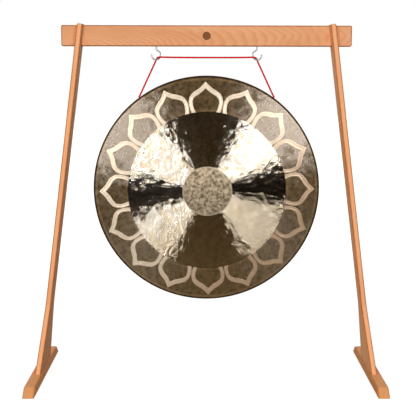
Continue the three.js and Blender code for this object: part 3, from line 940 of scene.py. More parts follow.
@dataclass
class Studio:
    """Camera, world, floor and the two softboxes."""

    picture_width: int = 416
    focal_pixels: float = 913.236
    sensor: float = 36.0
    nearest: float = 0.05
    camera_place: Point = (-0.0127843, -3.2308042, 1.0966396)
    pitch: float = 0.1485712
    yaw: float = 0.0057568
    roll: float = 0.0020315
    floor_size: float = 40.0
    room_shade: Colour = (0.016, 0.009, 0.003)
    room_fade: Span = (0.0, 0.35)
    fill_even: float = 0.03
    fills: tuple[Fill, ...] = (
        Fill(axis=1, sign=-1, power=6, strength=1.85),
        Fill(axis=1, sign=1, power=6, strength=1.8),
        Fill(axis=0, sign=-1, power=2, strength=0.5),
        Fill(axis=2, sign=1, power=2, strength=0.88),
    )
    softboxes: tuple[Softbox, ...] = (
        Softbox(Side.LEFT, azimuth=math.radians(20.6), height=math.radians(4.8),
                slant=math.radians(59), length=1.07, radiance=12.4),
        Softbox(Side.RIGHT, azimuth=math.radians(19.3), height=math.radians(6.9),
                slant=math.radians(50.3), length=0.95, radiance=15.0),
    )
    softbox_distance: float = 3.0
    aim: Point = (0.0, 0.0, 0.68)

    def build(self) -> list[str]:
        """Build the whole studio.

        Returns:
            The names of its pieces.
        """
        bpy.context.scene.view_settings.view_transform = "Standard"
        pieces = [self.add_camera(), self.add_world(), self.add_floor()]
        return pieces + [self.add_softbox(softbox) for softbox in self.softboxes]

    def add_camera(self) -> str:
        """Add the camera where the picture was taken from.

        Returns:
            Its name.
        """
        data = bpy.data.cameras.new("camera")
        data.sensor_width = self.sensor
        data.lens = self.focal_pixels / self.picture_width * self.sensor
        data.clip_start = self.nearest
        camera = bpy.data.objects.new("camera", data)
        turn = Matrix.Rotation(-self.yaw, 4, "Z")
        tilt = Matrix.Rotation(math.pi / 2 - self.pitch, 4, "X")
        spin = Matrix.Rotation(self.roll, 4, "Z")
        camera.matrix_world = Matrix.Translation(self.camera_place) @ turn @ tilt @ spin
        bpy.context.scene.collection.objects.link(camera)
        bpy.context.scene.camera = camera
        return camera.name

    def add_world(self) -> str:
        """Light the object evenly, and leave the room behind the camera dark in reflections.

        Returns:
            The world's name.
        """
        world = bpy.data.worlds.new("studio")
        world.use_nodes = True
        world.cycles.sampling_method = "NONE"
        bpy.context.scene.world = world
        sheet = NodeSheet(world.node_tree)
        direction = sheet.parts(sheet.add("TexCoord").outputs["Generated"])
        light = self.fill_even
        for fill in self.fills:
            towards = sheet.calc("MULTIPLY", direction[fill.axis], fill.sign)
            lobe = sheet.calc("POWER", sheet.calc("MAXIMUM", towards, 0), fill.power)
            light = sheet.calc("MULTIPLY_ADD", lobe, fill.strength, light)
        room = sheet.blend(sheet.step(direction[1], self.room_fade), self.room_shade, WHITE)
        lit, mirrored, seen = (
            sheet.add("Background", {"Color": colour, "Strength": strength}).outputs[0]
            for colour, strength in ((WHITE, light), (room, 1.0), (WHITE, 1.0))
        )
        sheet.add("OutputWorld", {"Surface": sheet.by_ray(lit, mirrored, seen)})
        return world.name

    def add_floor(self) -> str:
        """Lay the paper floor.

        Returns:
            Its name.
        """
        half = self.floor_size / 2
        corners = [(-half, -half, 0), (half, -half, 0), (half, half, 0), (-half, half, 0)]
        floor = new_piece("floor", corners, [(0, 1, 2, 3)], [StudioFloor("floor_paper").material()])
        return floor.name

    def add_softbox(self, softbox: Softbox) -> str:
        """Hang one softbox in front of the object, its long side slanting outwards and down.

        Args:
            softbox: Where it hangs and how bright it is.

        Returns:
            Its name.
        """
        name = "softbox_" + softbox.side.word
        data = bpy.data.lights.new(name, "AREA")
        data.shape = "RECTANGLE"
        data.size = softbox.length
        data.size_y = softbox.width
        data.energy = softbox.radiance * math.pi * softbox.length * softbox.width
        lamp = bpy.data.objects.new(name, data)
        lamp.visible_camera = False
        across = softbox.side.value
        away = Vector((
            across * math.sin(softbox.azimuth) * math.cos(softbox.height),
            -math.cos(softbox.azimuth) * math.cos(softbox.height),
            math.sin(softbox.height),
        ))
        slant = Vector((across * math.cos(softbox.slant), 0, -math.sin(softbox.slant)))
        long_side = (slant - away * slant.dot(away)).normalized()
        short_side = away.cross(long_side)
        turn = Matrix((long_side, short_side, away)).transposed().to_4x4()
        lamp.matrix_world = Matrix.Translation(Vector(self.aim) + away * self.softbox_distance) @ turn
        bpy.context.scene.collection.objects.link(lamp)
        return lamp.name


@dataclass
class WoodenFrame:
    """Crossbar with its inlay, posts, feet and dowels, dressed in beech."""

    lean: float = math.radians(7.53)
    post_foot_x: float = 0.60197
    foot_x: float = 0.604
    bar_height: float = 1.218
    bar_half_sizes: Point = (0.504, 0.036, 0.015)

    def build(self) -> list[str]:
        """Dress every wooden node.

        Returns:
            The names of the nodes.
        """
        bar = Beech(
            "beech_crossbar", (0, 0, self.bar_height), X_AXIS, Z_AXIS, Y_AXIS, EdgeRule.BOX,
            pith=(-0.035, 0.14), pith_slope=(0.045, 0.10), ring_width=0.0029, ring_strength=0.4,
            light=srgb(236, 172, 126), dark=srgb(210, 137, 86), edge=srgb(156, 82, 20),
            half_sizes=self.bar_half_sizes, band=0.005)
        inlay = DarkInlay("dark_inlay", (0, -self.bar_half_sizes[2], self.bar_height))
        pieces = [dress("crossbar", bar.material()), dress("bar_dot", inlay.material())]
        for side in Side:
            pieces += self.dress_leg(side)
        return pieces

    def dress_leg(self, side: Side) -> list[str]:
        """Dress one post, its foot and its dowels.

        Args:
            side: The leg's side.

        Returns:
            The names of the nodes.
        """
        word = side.word
        lean = side.value * self.lean
        grain = (-math.sin(lean), 0, math.cos(lean))
        sideways = (math.cos(lean), 0, math.sin(lean))
        # The left post's inner face carries painted shade.
        post = Beech(
            "beech_%s_post" % word, (side.value * self.post_foot_x, 0, 0), grain, Y_AXIS, sideways,
            pith=(0.06, 0.05), pith_slope=(0.01, 0.02), light=srgb(248, 178, 127),
            dark=srgb(235, 158, 106), painted_side_shade=sideways if side is Side.LEFT else None)
        # The foot's beech is a darker copy of the post's: painted shade for its up-facing faces.
        foot = Beech(
            "beech_%s_foot" % word, (side.value * self.foot_x, 0, 0), Y_AXIS, Z_AXIS, X_AXIS,
            pith=(-0.05, 0.04), pith_slope=(0.02, 0.03), light=srgb(224, 157, 102),
            dark=srgb(206, 138, 84), edge_strength=0.5)
        pieces = [dress(word + "_post", post.material()), dress(word + "_foot", foot.material())]
        for end in ("front", "rear"):
            name = "%s_%s_dowel" % (word, end)
            low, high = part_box(name)
            dowel = Beech("beech_" + name, tuple((low + high) / 2), Z_AXIS, Y_AXIS, X_AXIS,
                          EdgeRule.BOX, edge_strength=0.2)
            pieces.append(dress(name, dowel.material()))
        return pieces


@dataclass
class Fasteners:
    """Cap screws and threaded inserts."""

    endings: tuple[str, ...] = ("_screw", "_insert")

    def build(self) -> list[str]:
        """Dress every screw and insert.

        Returns:
            The names of the nodes.
        """
        steel = PlatedSteel("zinc_steel_screws").material()
        names = sorted(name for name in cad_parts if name.endswith(self.endings))
        return [dress(name, steel) for name in names]


# Lines and tubes


def path_lengths(points: np.ndarray, power: float = 1.0) -> np.ndarray:
    """Return how far along a line each of its points lies.

    Args:
        points: The line's points.
        power: The power of each step's length that counts.

    Returns:
        The lengths, the first of which is zero.
    """
    steps = np.linalg.norm(np.diff(points, axis=0), axis=1) ** power
    return np.concatenate(([0.0], np.cumsum(steps)))


def even_steps(points: np.ndarray, spacing: float) -> np.ndarray:
    """Return a line in even steps.

    Args:
        points: The line's points.
        spacing: About the length of a step.

    Returns:
        The points of the new line.
    """
    along = path_lengths(points)
    even = np.linspace(0, along[-1], max(1, round(along[-1] / spacing)) + 1)
    return np.stack([np.interp(even, along, part) for part in points.T], axis=1)


# The pairs of knots between which each level of a centripetal spline blends its points
SPLINE_LEVELS = (((0, 1), (1, 2), (2, 3)), ((0, 2), (1, 3)), ((1, 2),))
SPLINE_SAMPLES = 40


def spline_point(four: np.ndarray, knots: np.ndarray, at: float) -> np.ndarray:
    """Return one point of a centripetal spline.

    Args:
        four: The four points round it.
        knots: Their knot values.
        at: The knot value of the point.

    Returns:
        The point.
    """
    level = list(four)
    for pairs in SPLINE_LEVELS:
        shares = [(at - knots[low]) / (knots[high] - knots[low]) for low, high in pairs]
        level = [start * (1 - share) + end * share
                 for start, end, share in zip(level, level[1:], shares)]
    return level[0]


def smooth_line(points: np.ndarray, spacing: float) -> np.ndarray:
    """Run a smooth curve through points and return it in even steps.

    Args:
        points: The points that it goes through.
        spacing: The length of a step.

    Returns:
        The curve's points.
    """
    ends = np.vstack((2 * points[0] - points[1], points, 2 * points[-1] - points[-2]))
    fine = []
    for index in range(len(points) - 1):
        four = ends[index:index + 4]
        knots = path_lengths(four, 0.5)
        samples = np.linspace(knots[1], knots[2], SPLINE_SAMPLES, endpoint=False)
        fine.extend(spline_point(four, knots, at) for at in samples)
    fine.append(points[-1])
    return even_steps(np.array(fine), spacing)


def bent_line(corners: list[Point], spacing: float) -> np.ndarray:
    """Follow corners in a plane and round each one by its radius.

    Args:
        corners: Each corner's place in the plane and its radius.
        spacing: The length of a step along it.

    Returns:
        The line's points.
    """
    places = np.array(corners)[:, :2]
    radii = [corner[2] for corner in corners]
    line = [places[0]]
    for before, middle, after, radius in zip(places, places[1:], places[2:], radii[1:]):
        arriving = (middle - before) / np.linalg.norm(middle - before)
        leaving = (after - middle) / np.linalg.norm(after - middle)
        cross = arriving[0] * leaving[1] - arriving[1] * leaving[0]
        turn = math.atan2(cross, arriving.dot(leaving))
        start = middle - arriving * radius * math.tan(abs(turn) / 2)
        spoke = np.array((arriving[1], -arriving[0])) * math.copysign(radius, turn)
        count = max(2, int(abs(turn) * radius / spacing))
        for angle in turn * np.arange(count + 1) / count:
            turned = (spoke[0] * math.cos(angle) - spoke[1] * math.sin(angle),
                      spoke[0] * math.sin(angle) + spoke[1] * math.cos(angle))
            line.append(start - spoke + turned)
    line.append(places[-1])
    points = np.array(line)
    apart = np.linalg.norm(np.diff(points, axis=0), axis=1) > NEXT_TO_NOTHING
    return even_steps(points[np.concatenate(([True], apart))], spacing)


def side_directions(points: np.ndarray) -> tuple[np.ndarray, np.ndarray]:
    """Carry two directions square to a line along it, without twist.

    Args:
        points: The line's points.

    Returns:
        The two directions at each point.
    """
    tangents = np.gradient(points, axis=0)
    tangents /= np.linalg.norm(tangents, axis=1, keepdims=True)
    start = np.cross(tangents[0], Y_AXIS)
    if np.linalg.norm(start) < NEXT_TO_NOTHING:
        start = np.cross(tangents[0], X_AXIS)
    first = [start / np.linalg.norm(start)]
    for tangent in tangents[1:]:
        carried = first[-1] - tangent * first[-1].dot(tangent)
        first.append(carried / np.linalg.norm(carried))
    return np.array(first), np.cross(tangents, first)


def tube(points: np.ndarray, radii: np.ndarray, sides: int) -> tuple[np.ndarray, list]:
    """Sweep a round section along a line and close both ends.

    Args:
        points: The line's points.
        radii: A radius for each point and side, or one for each point.
        sides: The number of sides.

    Returns:
        The vertices and the faces.
    """
    first, second = side_directions(points)
    angles = np.arange(sides)[:, None] * FULL_TURN / sides
    circle = first[:, None] * np.cos(angles) + second[:, None] * np.sin(angles)
    reach = radii[:, None, None] if radii.ndim == 1 else radii[:, :, None]
    vertices = (points[:, None] + circle * reach).reshape(-1, 3)
    faces = []
    for low in range(0, len(vertices) - sides, sides):
        for side in range(sides):
            after = (side + 1) % sides
            faces.append((low + side, low + after, low + sides + after, low + sides + side))
    faces.append(tuple(reversed(range(sides))))
    faces.append(tuple(range(len(vertices) - sides, len(vertices))))
    return vertices, faces


@dataclass
class HookPair:
    """Two screw hooks bent from round wire."""

    spacing: float = 0.351
    wire: float = 0.005
    bar_bottom: float = 1.182
    screw_depth: float = 0.022
    drop: float = 0.0455
    bowl: float = 0.014
    tip: Span = (0.017, 0.019)
    neck_drop: float = 0.011
    neck_slope: float = 0.010
    neck_radius: float = 0.006
    thread_pitch: float = 0.0018
    thread_depth: float = 0.0004
    thread_end: float = 0.002
    thread_fade: float = 0.003
    point_length: float = 0.005
    point_share: float = 0.02
    tip_share: float = 0.04
    sides: int = 20
    step: float = 0.0006

    def build(self) -> list[str]:
        """Build both hooks.

        Returns:
            Their names.
        """
        steel = PlatedSteel("zinc_steel_hooks", srgb(212, 216, 212), srgb(164, 171, 167),
                            metallic=0.6).material()
        return [self.add_hook(side, steel) for side in Side]

    def add_hook(self, side: Side, material: Material) -> str:
        """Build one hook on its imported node.

        Args:
            side: The hook's side; its bowl opens outwards.
            material: Its finish.

        Returns:
            The hook's name.
        """
        line = self.centre_line()
        upright = np.zeros((len(line), 3))
        upright[:, 0] = side.value * (self.spacing / 2 + line[:, 0])
        upright[:, 2] = self.bar_bottom - self.drop + line[:, 1]
        vertices, faces = tube(upright, self.wire_radii(upright), self.sides)
        hook = new_piece(side.word + "_screw_hook", vertices, faces, [material])
        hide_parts(side.word + "_hook")
        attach(hook, "stand")
        return hook.name

    def centre_line(self) -> np.ndarray:
        """Return the middle of the wire, from its point in the bar to its tip.

        Returns:
            The points, in a plane whose middle is the middle of the bowl.
        """
        neck = self.drop - self.neck_drop
        corners = [
            (0, self.drop + self.screw_depth, 0),
            (0, neck, self.neck_radius),
            (-self.bowl, neck - self.neck_slope, self.neck_radius),
            (-self.bowl, 0, self.bowl),
            (self.bowl, 0, self.bowl),
            (*self.tip, 0),
        ]
        return bent_line(corners, self.step)

    def wire_radii(self, line: np.ndarray) -> np.ndarray:
        """Return the wire's radius round each point: threads in the bar, a rounded tip outside.

        Args:
            line: The middle of the wire.

        Returns:
            A radius for each point and side.
        """
        along = path_lengths(line)
        radius = self.wire / 2
        phase = (along[:, None] / self.thread_pitch + np.arange(self.sides) / self.sides) % 1
        valley = np.abs(2 * phase - 1)
        threads = np.clip((self.screw_depth - self.thread_end - along) / self.thread_fade, 0, 1)
        radii = radius - self.thread_depth * valley * threads[:, None]
        point = np.clip(along / self.point_length, self.point_share, 1)
        left = np.clip((along[-1] - along) / radius, 0, 1)
        tip = np.sqrt(np.clip(1 - (1 - left) ** 2, self.tip_share ** 2, 1))
        return radii * (point * tip)[:, None]


@dataclass
class Gong:
    """Bronze gong: turned face in three zones, petals, rounded edge and turned-back rim."""

    radius: float = 0.402
    sheet: float = 0.002
    crown: float = 0.008
    rim_depth: float = 0.065
    shoulder: float = 0.007
    rim_taper: float = 0.006
    centre: Point = (0.0, -0.005833, 0.680)
    lean: float = math.radians(1.0889)

    hole_angle: float = math.radians(36.1)
    hole_setback: float = 0.012
    hole_diameter: float = 0.008
    drill_length: float = 0.016
    drill_sides: int = 32

    disc_radius: float = 0.0882
    disc_shift: Span = (0.0032, -0.005)
    polished_radius: float = 0.2810
    polished_shift: Span = (0.0019, -0.0046)
    level_radius: float = 0.372
    outer_rub_radius: float = 0.3905
    outer_rub_width: float = 0.0045
    disc_rub_inset: float = 0.0015
    polished_rub_outset: float = 0.005
    rub_width: float = 0.003

    segments: int = 360
    ring_pitch: float = 0.0036
    shoulder_steps: int = 8
    rim_shares: tuple[float, ...] = (0.15, 0.4, 0.7, 0.97, 1.0)
    back_rings: int = 25
    relief: float = 0.00012
    relief_size: float = 0.03
    relief_fade: float = 0.01
    relief_seed: float = 3.7

    petals: int = 16
    petal_turn: float = math.radians(-0.8)
    petal_shift: Span = (0.0018, -0.0018)
    petal_rise: float = 0.0004
    petal_steps: int = 28
    petal_spacing: float = 0.0004
    petal_outside: tuple[Span, ...] = (
        (0.0488, 0.2708), (0.0563, 0.2899), (0.0594, 0.3036), (0.0598, 0.3168), (0.0542, 0.3358),
        (0.0381, 0.3511), (0.0210, 0.3623), (0.0, 0.3838),
    )
    petal_inside: tuple[Span, ...] = (
        (0.0328, 0.2708), (0.0424, 0.2929), (0.0459, 0.3092), (0.0443, 0.3226), (0.0333, 0.3336),
        (0.0168, 0.3441), (0.0, 0.3596),
    )
    # Across half a petal's band: the share of its width and of its rise, and then its middle line
    petal_half_shares: tuple[Span, ...] = (
        (0.0, -0.5), (0.03, 0.85), (0.07, 1.0), (0.43, 1.0), (0.47, 0.75),
    )
    petal_line_shares: Span = (0.5, 0.4)

    @property
    def matrix(self) -> Matrix:
        """The gong's place, leaning a little as it hangs."""
        return Matrix.Translation(self.centre) @ Matrix.Rotation(self.lean, 4, "X")

    @property
    def face_radius(self) -> float:
        """Where the crowned face turns into the rounded edge."""
        return self.radius - self.shoulder

    def hole(self, side: Side, depth: float = 0.0) -> tuple[Vector, Vector]:
        """Return a place in a cord hole and the direction out of the hole, in the gong's frame.

        Args:
            side: The hole's side.
            depth: How far the place lies under the rim's outer face.

        Returns:
            The place and the direction.
        """
        outward = Vector((side.value * math.sin(self.hole_angle), 0, math.cos(self.hole_angle)))
        flank = (self.hole_setback - self.shoulder) / (self.rim_depth - self.shoulder)
        distance = self.radius - self.rim_taper * flank
        return outward * (distance - depth) + Vector((0, self.hole_setback, 0)), outward

    def build(self) -> list[str]:
        """Build the gong and its petals.

        Returns:
            The names of the pieces.
        """
        return [self.add_shell(self.zone_metals()), self.add_petals()]

    def zone_metals(self) -> dict[Zone, Material]:
        """Mix the metal of each zone.

        Returns:
            The zones' finishes.
        """
        disc_edge = RubbedRing(self.disc_radius - self.disc_rub_inset, self.rub_width,
                               self.disc_shift)
        polish_edge = RubbedRing(self.polished_radius + self.polished_rub_outset, self.rub_width,
                                 self.polished_shift)
        outer_edge = RubbedRing(self.outer_rub_radius, self.outer_rub_width)
        metals = {
            # The disc and the dark ring carry painted shade towards the bottom.
            Zone.DISC: RubbedMetal(
                "hammered_disc", srgb(226, 204, 170), srgb(122, 103, 76), roughness=0.42,
                anisotropy=0.2, metallic=0.45, groove_slope=0.05, ripple_slope=0.03,
                ripple_width=0.006, ripple_length=0.004, dent_size=0.005, dent_depth=0.0004,
                mottle_size=0.011, mottle_share=0.9, painted_shade=0.3, painted_shade_span=(-0.07, 0.07),
                rubbed=srgb(216, 196, 162), rings=(disc_edge,)),
            Zone.POLISHED: HazyMetal(
                "polished_bronze", srgb(226, 211, 188), srgb(206, 187, 158), roughness=0.155,
                groove_slope=0.43, wear=0.2, wear_size=0.015, ripple_slope=0.042,
                ripple_width=0.0095, ripple_detail=2, dent_size=0.0125, dent_depth=0.00017),
            Zone.PATINA: RubbedMetal(
                "patina_bronze", srgb(112, 87, 46), srgb(74, 55, 25), roughness=0.26,
                anisotropy=0.9, metallic=0.0, index=2.8, gloss_tint=(0.93, 0.8, 0.67),
                groove_pitch=0.0013, groove_slope=0.12, ripple_slope=0.034, ripple_width=0.011,
                ripple_length=0.026, ripple_detail=1.5, dent_depth=0.00014, mottle_size=0.018,
                mottle_detail=2.5, painted_shade=0.35, painted_shade_tone=srgb(62, 44, 6), painted_shade_span=(-0.3, 0.3),
                rubbed_share=(0.15, 0.6), rings=(outer_edge, polish_edge)),
            Zone.RIM: GongMetal(
                "dark_rim_bronze", srgb(114, 90, 58), srgb(66, 50, 30), roughness=0.4,
                anisotropy=0.3, groove_pitch=0.002, groove_slope=0.06, ripple_slope=0.02),
            Zone.BACK: GongMetal(
                "back_bronze", srgb(158, 128, 84), srgb(112, 88, 54), roughness=0.36,
                anisotropy=0.6, metallic=0.75, groove_pitch=0.003, groove_slope=0.10,
                ripple_slope=0.03, dent_size=0.03, dent_depth=0.0006, mottle_size=0.06,
                mottle_share=0.4),
        }
        return {zone: metal.material() for zone, metal in metals.items()}

    def face_height(self, across: float, up: float) -> float:
        """Return how far the struck face lies in front of the edge, with its hammered waves.

        Args:
            across: The place to the right of the middle.
            up: The place above the middle.

        Returns:
            The place along Y in the gong's frame.
        """
        distance = math.hypot(across, up)
        level = -self.crown * (1 - (distance / self.face_radius) ** 2)
        fade = min(1.0, max(0.0, (self.face_radius - distance) / self.relief_fade))
        seed = Vector((across / self.relief_size, up / self.relief_size, self.relief_seed))
        return level + self.relief * fade * (1 + noise.noise(seed))

    def ring_shift(self, radius: float) -> Span:
        """Return how far the middle of a ring on the face lies from the gong's own.

        Args:
            radius: The ring's radius.

        Returns:
            The shift to the right and up.
        """
        stops = (self.disc_radius, self.polished_radius, self.level_radius)
        shifts = (self.disc_shift, self.polished_shift, (0.0, 0.0))
        right, up = (float(np.interp(radius, stops, parts)) for parts in zip(*shifts))
        return right, up

    def spokes(self) -> list[Span]:
        """Return the directions from the middle to a ring's vertices."""
        angles = [FULL_TURN * index / self.segments for index in range(self.segments)]
        return [(math.sin(angle), math.cos(angle)) for angle in angles]

    def face_rings(self) -> list[tuple[list[Point], Zone]]:
        """Return the rings of the struck face, with one on the edge of each zone.

        Returns:
            Each ring's vertices and zone, from the middle outwards.
        """
        edges = {Zone.DISC: self.disc_radius, Zone.POLISHED: self.polished_radius,
                 Zone.PATINA: self.face_radius}
        rings = []
        inner = 0.0
        for zone, outer in edges.items():
            count = max(2, round((outer - inner) / self.ring_pitch))
            for step in range(1, count + 1):
                radius = inner + (outer - inner) * step / count
                shift = self.ring_shift(radius)
                flat = [(shift[0] + radius * right, shift[1] + radius * up)
                        for right, up in self.spokes()]
                ring = [(right, self.face_height(right, up), up) for right, up in flat]
                rings.append((ring, zone))
            inner = outer
        return rings

    def rim_rings(self) -> list[tuple[list[Point], Zone]]:
        """Return the rings round the rim and over the back.

        Returns:
            Each ring's vertices and zone, from the rounded edge round to the middle of the back.
        """
        front = self.edge_section(self.shoulder)[1:] + self.rim_section(self.radius)
        back = self.edge_section(self.shoulder - self.sheet)[:-1] \
            + self.rim_section(self.radius - self.sheet)
        back.reverse()
        for step in range(self.back_rings - 1, 0, -1):
            share = step / self.back_rings
            back.append((self.face_radius * share, self.sheet - self.crown * (1 - share ** 2)))
        section = [(*place, Zone.RIM) for place in front] + [(*place, Zone.BACK) for place in back]
        return [
            ([(radius * right, along, radius * up) for right, up in self.spokes()], zone)
            for radius, along, zone in section
        ]

    def edge_section(self, bend: float) -> list[Span]:
        """Return the section of the rounded edge, as radii and places along Y.

        Args:
            bend: The radius of its bend.

        Returns:
            The points, from the face to the rim.
        """
        angles = [step / self.shoulder_steps * math.pi / 2 for step in range(self.shoulder_steps + 1)]
        return [(self.face_radius + bend * math.sin(angle), self.shoulder - bend * math.cos(angle))
                for angle in angles]

    def rim_section(self, radius: float) -> list[Span]:
        """Return one side of the tapering rim's section, as radii and places along Y.

        Args:
            radius: The radius of that side where the taper starts.

        Returns:
            The points, from the rounded edge to the rim's rear.
        """
        depth = self.rim_depth - self.shoulder
        return [(radius - self.rim_taper * share, self.shoulder + depth * share)
                for share in self.rim_shares]

    def add_shell(self, metals: dict[Zone, Material]) -> str:
        """Build the sheet, front and back, with its rim and cord holes.

        Args:
            metals: The zones' finishes.

        Returns:
            The piece's name.
        """
        count = self.segments
        vertices = [(self.disc_shift[0], self.face_height(*self.disc_shift), self.disc_shift[1])]
        faces = []
        zones = []
        for ring, zone in self.face_rings() + self.rim_rings():
            start = len(vertices)
            vertices.extend(ring)
            for index in range(count):
                after = (index + 1) % count
                if start == 1:
                    faces.append((0, start + after, start + index))
                else:
                    low = start - count
                    faces.append((low + index, low + after, start + after, start + index))
            zones += [zone] * count
        last = len(vertices)
        vertices.append((0.0, self.sheet - self.crown, 0.0))
        for index in range(count):
            faces.append((last, last - count + index, last - count + (index + 1) % count))
        zones += [Zone.BACK] * count
        shell = new_piece("gong_shell", vertices, faces, list(metals.values()), self.matrix)
        order = list(metals)
        shell.data.polygons.foreach_set("material_index", [order.index(zone) for zone in zones])
        for side in Side:
            self.drill(shell, side)
        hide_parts("gong")
        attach(shell, "gong")
        return shell.name

    def drill(self, shell: bpy.types.Object, side: Side) -> None:
        """Cut one cord hole through the rim.

        Args:
            shell: The gong's piece.
            side: The hole's side.
        """
        place, outward = self.hole(side)
        bit = bmesh.new()
        bmesh.ops.create_cone(bit, cap_ends=True, segments=self.drill_sides, depth=self.drill_length,
                              radius1=self.hole_diameter / 2, radius2=self.hole_diameter / 2)
        data = bpy.data.meshes.new("drill")
        bit.to_mesh(data)
        bit.free()
        cutter = bpy.data.objects.new("drill", data)
        turn = outward.to_track_quat("Z", "Y").to_matrix().to_4x4()
        cutter.matrix_world = shell.matrix_world @ Matrix.Translation(place) @ turn
        bpy.context.scene.collection.objects.link(cutter)
        cut = shell.modifiers.new("cut", "BOOLEAN")
        cut.object = cutter
        cut.operation = "DIFFERENCE"
        cut.solver = "EXACT"
        bpy.context.view_layer.update()
        drilled = shell.evaluated_get(bpy.context.evaluated_depsgraph_get())
        result = bpy.data.meshes.new_from_object(drilled)
        shell.modifiers.clear()
        shell.data = result
        bpy.data.objects.remove(cutter)

    def add_petals(self) -> str:
        """Lay the ring of raised petal outlines on the dark zone.

        Returns:
            The piece's name.
        """
        outside = self.petal_line(self.petal_outside)
        inside = self.petal_line(self.petal_inside)
        half = self.petal_half_shares
        section = [*half, self.petal_line_shares, *((1 - share, rise) for share, rise in half[::-1])]
        width = len(section)
        vertices = []
        faces = []
        for petal in range(self.petals):
            turn = self.petal_turn + FULL_TURN * petal / self.petals
            for mirror in (-1, 1):
                start = len(vertices)
                for outer, inner in zip(outside, inside):
                    for share, rise in section:
                        across, out = outer * (1 - share) + inner * share
                        vertices.append(self.petal_point(mirror * across, out, turn, rise))
                for row in range(start, len(vertices) - width, width):
                    for low in range(row, row + width - 1):
                        face = (low, low + 1, low + width + 1, low + width)
                        faces.append(face if mirror > 0 else face[::-1])
        # The petals carry painted shade towards the lower right, so they read lighter at the upper
        # left.
        metal = RubbedMetal(
            "petal_bronze", srgb(247, 226, 201), srgb(238, 214, 184), roughness=0.28,
            anisotropy=0.0, metallic=0.35, index=1.8, gloss_tint=(1.0, 0.92, 0.8),
            groove_slope=0.02, ripple_slope=0.015, dent_size=0.012, dent_depth=0.00005,
            mottle_size=0.012, mottle_detail=2, painted_shade=0.68, painted_shade_tone=srgb(158, 117, 76),
            painted_shade_towards=(0.77, -0.64), painted_shade_span=(-0.03, 0.29)).material()
        ring = new_piece("petal_ring", vertices, faces, [metal], self.matrix)
        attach(ring, "gong")
        return ring.name

    def petal_line(self, outline: tuple[Span, ...]) -> np.ndarray:
        """Return an outline as a smooth line with the petals' number of steps."""
        line = smooth_line(np.array(outline), self.petal_spacing)
        return line[np.linspace(0, len(line) - 1, self.petal_steps + 1).astype(int)]

    def petal_point(self, across: float, out: float, turn: float, rise: float) -> Point:
        """Place a point of a petal on the gong's face.

        Args:
            across: Its distance from the petal's middle line.
            out: Its distance from the ring's middle.
            turn: The petal's turn from the top, in radians.
            rise: Its height over the face, as a share of the petals' rise.

        Returns:
            The point in the gong's frame.
        """
        right = self.petal_shift[0] + out * math.sin(turn) + across * math.cos(turn)
        up = self.petal_shift[1] + out * math.cos(turn) - across * math.sin(turn)
        spoke = Vector((right - self.polished_shift[0], up - self.polished_shift[1]))
        if spoke.length < self.polished_radius:
            spoke = spoke.normalized() * self.polished_radius
            right = self.polished_shift[0] + spoke.x
            up = self.polished_shift[1] + spoke.y
        return (right, self.face_height(right, up) - self.petal_rise * rise, up)


# The middle of the cord's left half, from its top run over the hook to the hole in the rim
CORD_ROUTE = (
    (0, -0.0065, 1.144),
    (-0.045, -0.0065, 1.144),
    (-0.09, -0.0065, 1.1442),
    (-0.13, -0.0065, 1.1446),
    (-0.1555, -0.0065, 1.1451),
    (-0.1615, -0.0061, 1.1452),
    (-0.1665, -0.0045, 1.1447),
    (-0.1705, -0.0014, 1.1434),
    (-0.1734, 0.0025, 1.1414),
    (-0.1754, 0.0053, 1.1384),
    (-0.1772, 0.0067, 1.1342),
    (-0.1797, 0.0069, 1.1285),
    (-0.1835, 0.0065, 1.1203),
    (-0.1995, 0.0046, 1.0861),
    (-0.2155, 0.0026, 1.0519),
    (-0.2315, 0.0007, 1.0177),
    (-0.2342, 0.0004, 1.0121),
    (-0.2363, 0.0001, 1.0084),
    (-0.2366, 0.0, 1.0046),
)


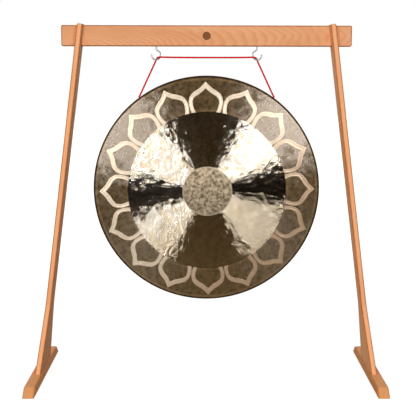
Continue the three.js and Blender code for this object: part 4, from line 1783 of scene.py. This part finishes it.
@dataclass
class HangingCord:
    """One cord from rim hole to rim hole over both hooks, and a knot at each end of it."""

    gong: Gong
    diameter: float = 0.0052
    sides: int = 24
    step: float = 0.0008
    plait_relief: float = 0.00042
    hook_line: float = 1.1365
    blend_reach: float = 0.012
    knot_scale: float = 0.0017
    knot_rise_share: float = 1.25
    knot_strand: float = 0.0021
    knot_gap: float = 0.0004
    knot_steps: int = 96
    knot_sides: int = 16
    tail_length: float = 0.013
    tail_start_share: float = 0.6
    tail_bend: float = 0.003
    tail_steps: int = 24
    tail_end_shares: Point = (1.12, 1.1, 0.7)

    def build(self) -> list[str]:
        """Build the cord and its knots.

        Returns:
            The names of the pieces.
        """
        braid = BraidedCord("red_braid")
        material = braid.material()
        knots = [self.add_knot(side, material) for side in Side]
        cord = self.add_cord(braid, material)
        return [piece.name for piece in (*knots, cord)]

    def add_cord(self, braid: BraidedCord, material: Material) -> bpy.types.Object:
        """Build the cord along its route.

        Args:
            braid: The braid's facts.
            material: Its finish.

        Returns:
            The cord's piece.
        """
        left = np.array(CORD_ROUTE)
        right = left[1:] * (-1, 1, 1)
        route = np.vstack((left[::-1], right))
        line = smooth_line(route, self.step)
        lengths = path_lengths(line)
        turn = np.arange(self.sides) / self.sides * FULL_TURN * braid.strands / 2
        travel = lengths[:, None] * FULL_TURN / braid.plait_length
        weave = np.abs(np.sin(turn + travel) * np.sin(turn - travel))
        radii = self.diameter / 2 + self.plait_relief * np.sqrt(weave)
        vertices, faces = tube(line, radii, self.sides)
        cord = new_piece("hanging_cord", vertices, faces, [material])
        self.lay_out(cord, lengths)
        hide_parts("cord_top_run", "left_cord_run", "right_cord_run")
        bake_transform(cord)
        return cord

    def lay_out(self, cord: bpy.types.Object, lengths: np.ndarray) -> None:
        """Give the cord coordinates round and along it.

        Args:
            cord: The cord's piece.
            lengths: The length up to each ring.
        """
        layer = cord.data.uv_layers.new(name="lay")
        for face in cord.data.polygons:
            if face.loop_total != 4:
                continue
            for corner, (loop, vertex) in enumerate(zip(face.loop_indices, face.vertices)):
                ring, side = divmod(vertex, self.sides)
                wrapped = side == 0 and corner in (1, 2)
                layer.data[loop].uv = (1.0 if wrapped else side / self.sides, lengths[ring])

    def add_knot(self, side: Side, material: Material) -> bpy.types.Object:
        """Tie one overhand knot behind the rim, with its short tail.

        Args:
            side: The cord end's side.
            material: The cord's finish.

        Returns:
            The knot's piece.
        """
        place, outward = self.gong.hole(side, self.gong.sheet)
        seat = self.gong.matrix @ place
        axis = (self.gong.matrix.to_3x3() @ -outward).normalized()
        first = axis.orthogonal().normalized()
        rise = self.knot_scale * self.knot_rise_share + self.knot_strand
        turns = np.linspace(0, FULL_TURN, self.knot_steps + 1)[:-1]
        loop = self.knot_scale * np.stack((
            np.sin(turns) + 2 * np.sin(2 * turns),
            np.cos(turns) - 2 * np.cos(2 * turns),
            -self.knot_rise_share * np.sin(3 * turns),
        ), axis=1)
        loop = np.vstack((loop, loop[:3])) @ np.array([first, axis.cross(first), axis])
        loop += np.array(seat + axis * (rise + self.knot_gap))
        vertices, faces = tube(loop, np.full(len(loop), self.knot_strand), self.knot_sides)
        share = np.linspace(0, 1, self.tail_steps)[:, None]
        tail = np.array(seat + axis * rise * self.tail_start_share) \
            + np.array(axis) * (2 * rise + self.tail_length) * share \
            + np.array(first) * self.tail_bend * share ** 2
        radii = np.full(self.tail_steps, self.knot_strand)
        radii[-len(self.tail_end_shares):] *= self.tail_end_shares
        more, more_faces = tube(tail, radii, self.knot_sides)
        faces += [tuple(index + len(vertices) for index in face) for face in more_faces]
        knot = new_piece(side.word + "_overhand_knot", np.vstack((vertices, more)), faces, [material])
        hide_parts(side.word + "_cord_knot")
        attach(knot, "gong")
        return knot


def main() -> None:
    """Build the scene, one sub-assembly after another, and report each piece."""
    logging.basicConfig(level=logging.INFO)
    gong = Gong()
    for assembly in (Studio(), HangingCord(gong), gong, WoodenFrame(), Fasteners(), HookPair()):
        for piece in assembly.build():
            log.info("%s: %s", type(assembly).__name__, piece)


if __name__ == "__main__":
    main()
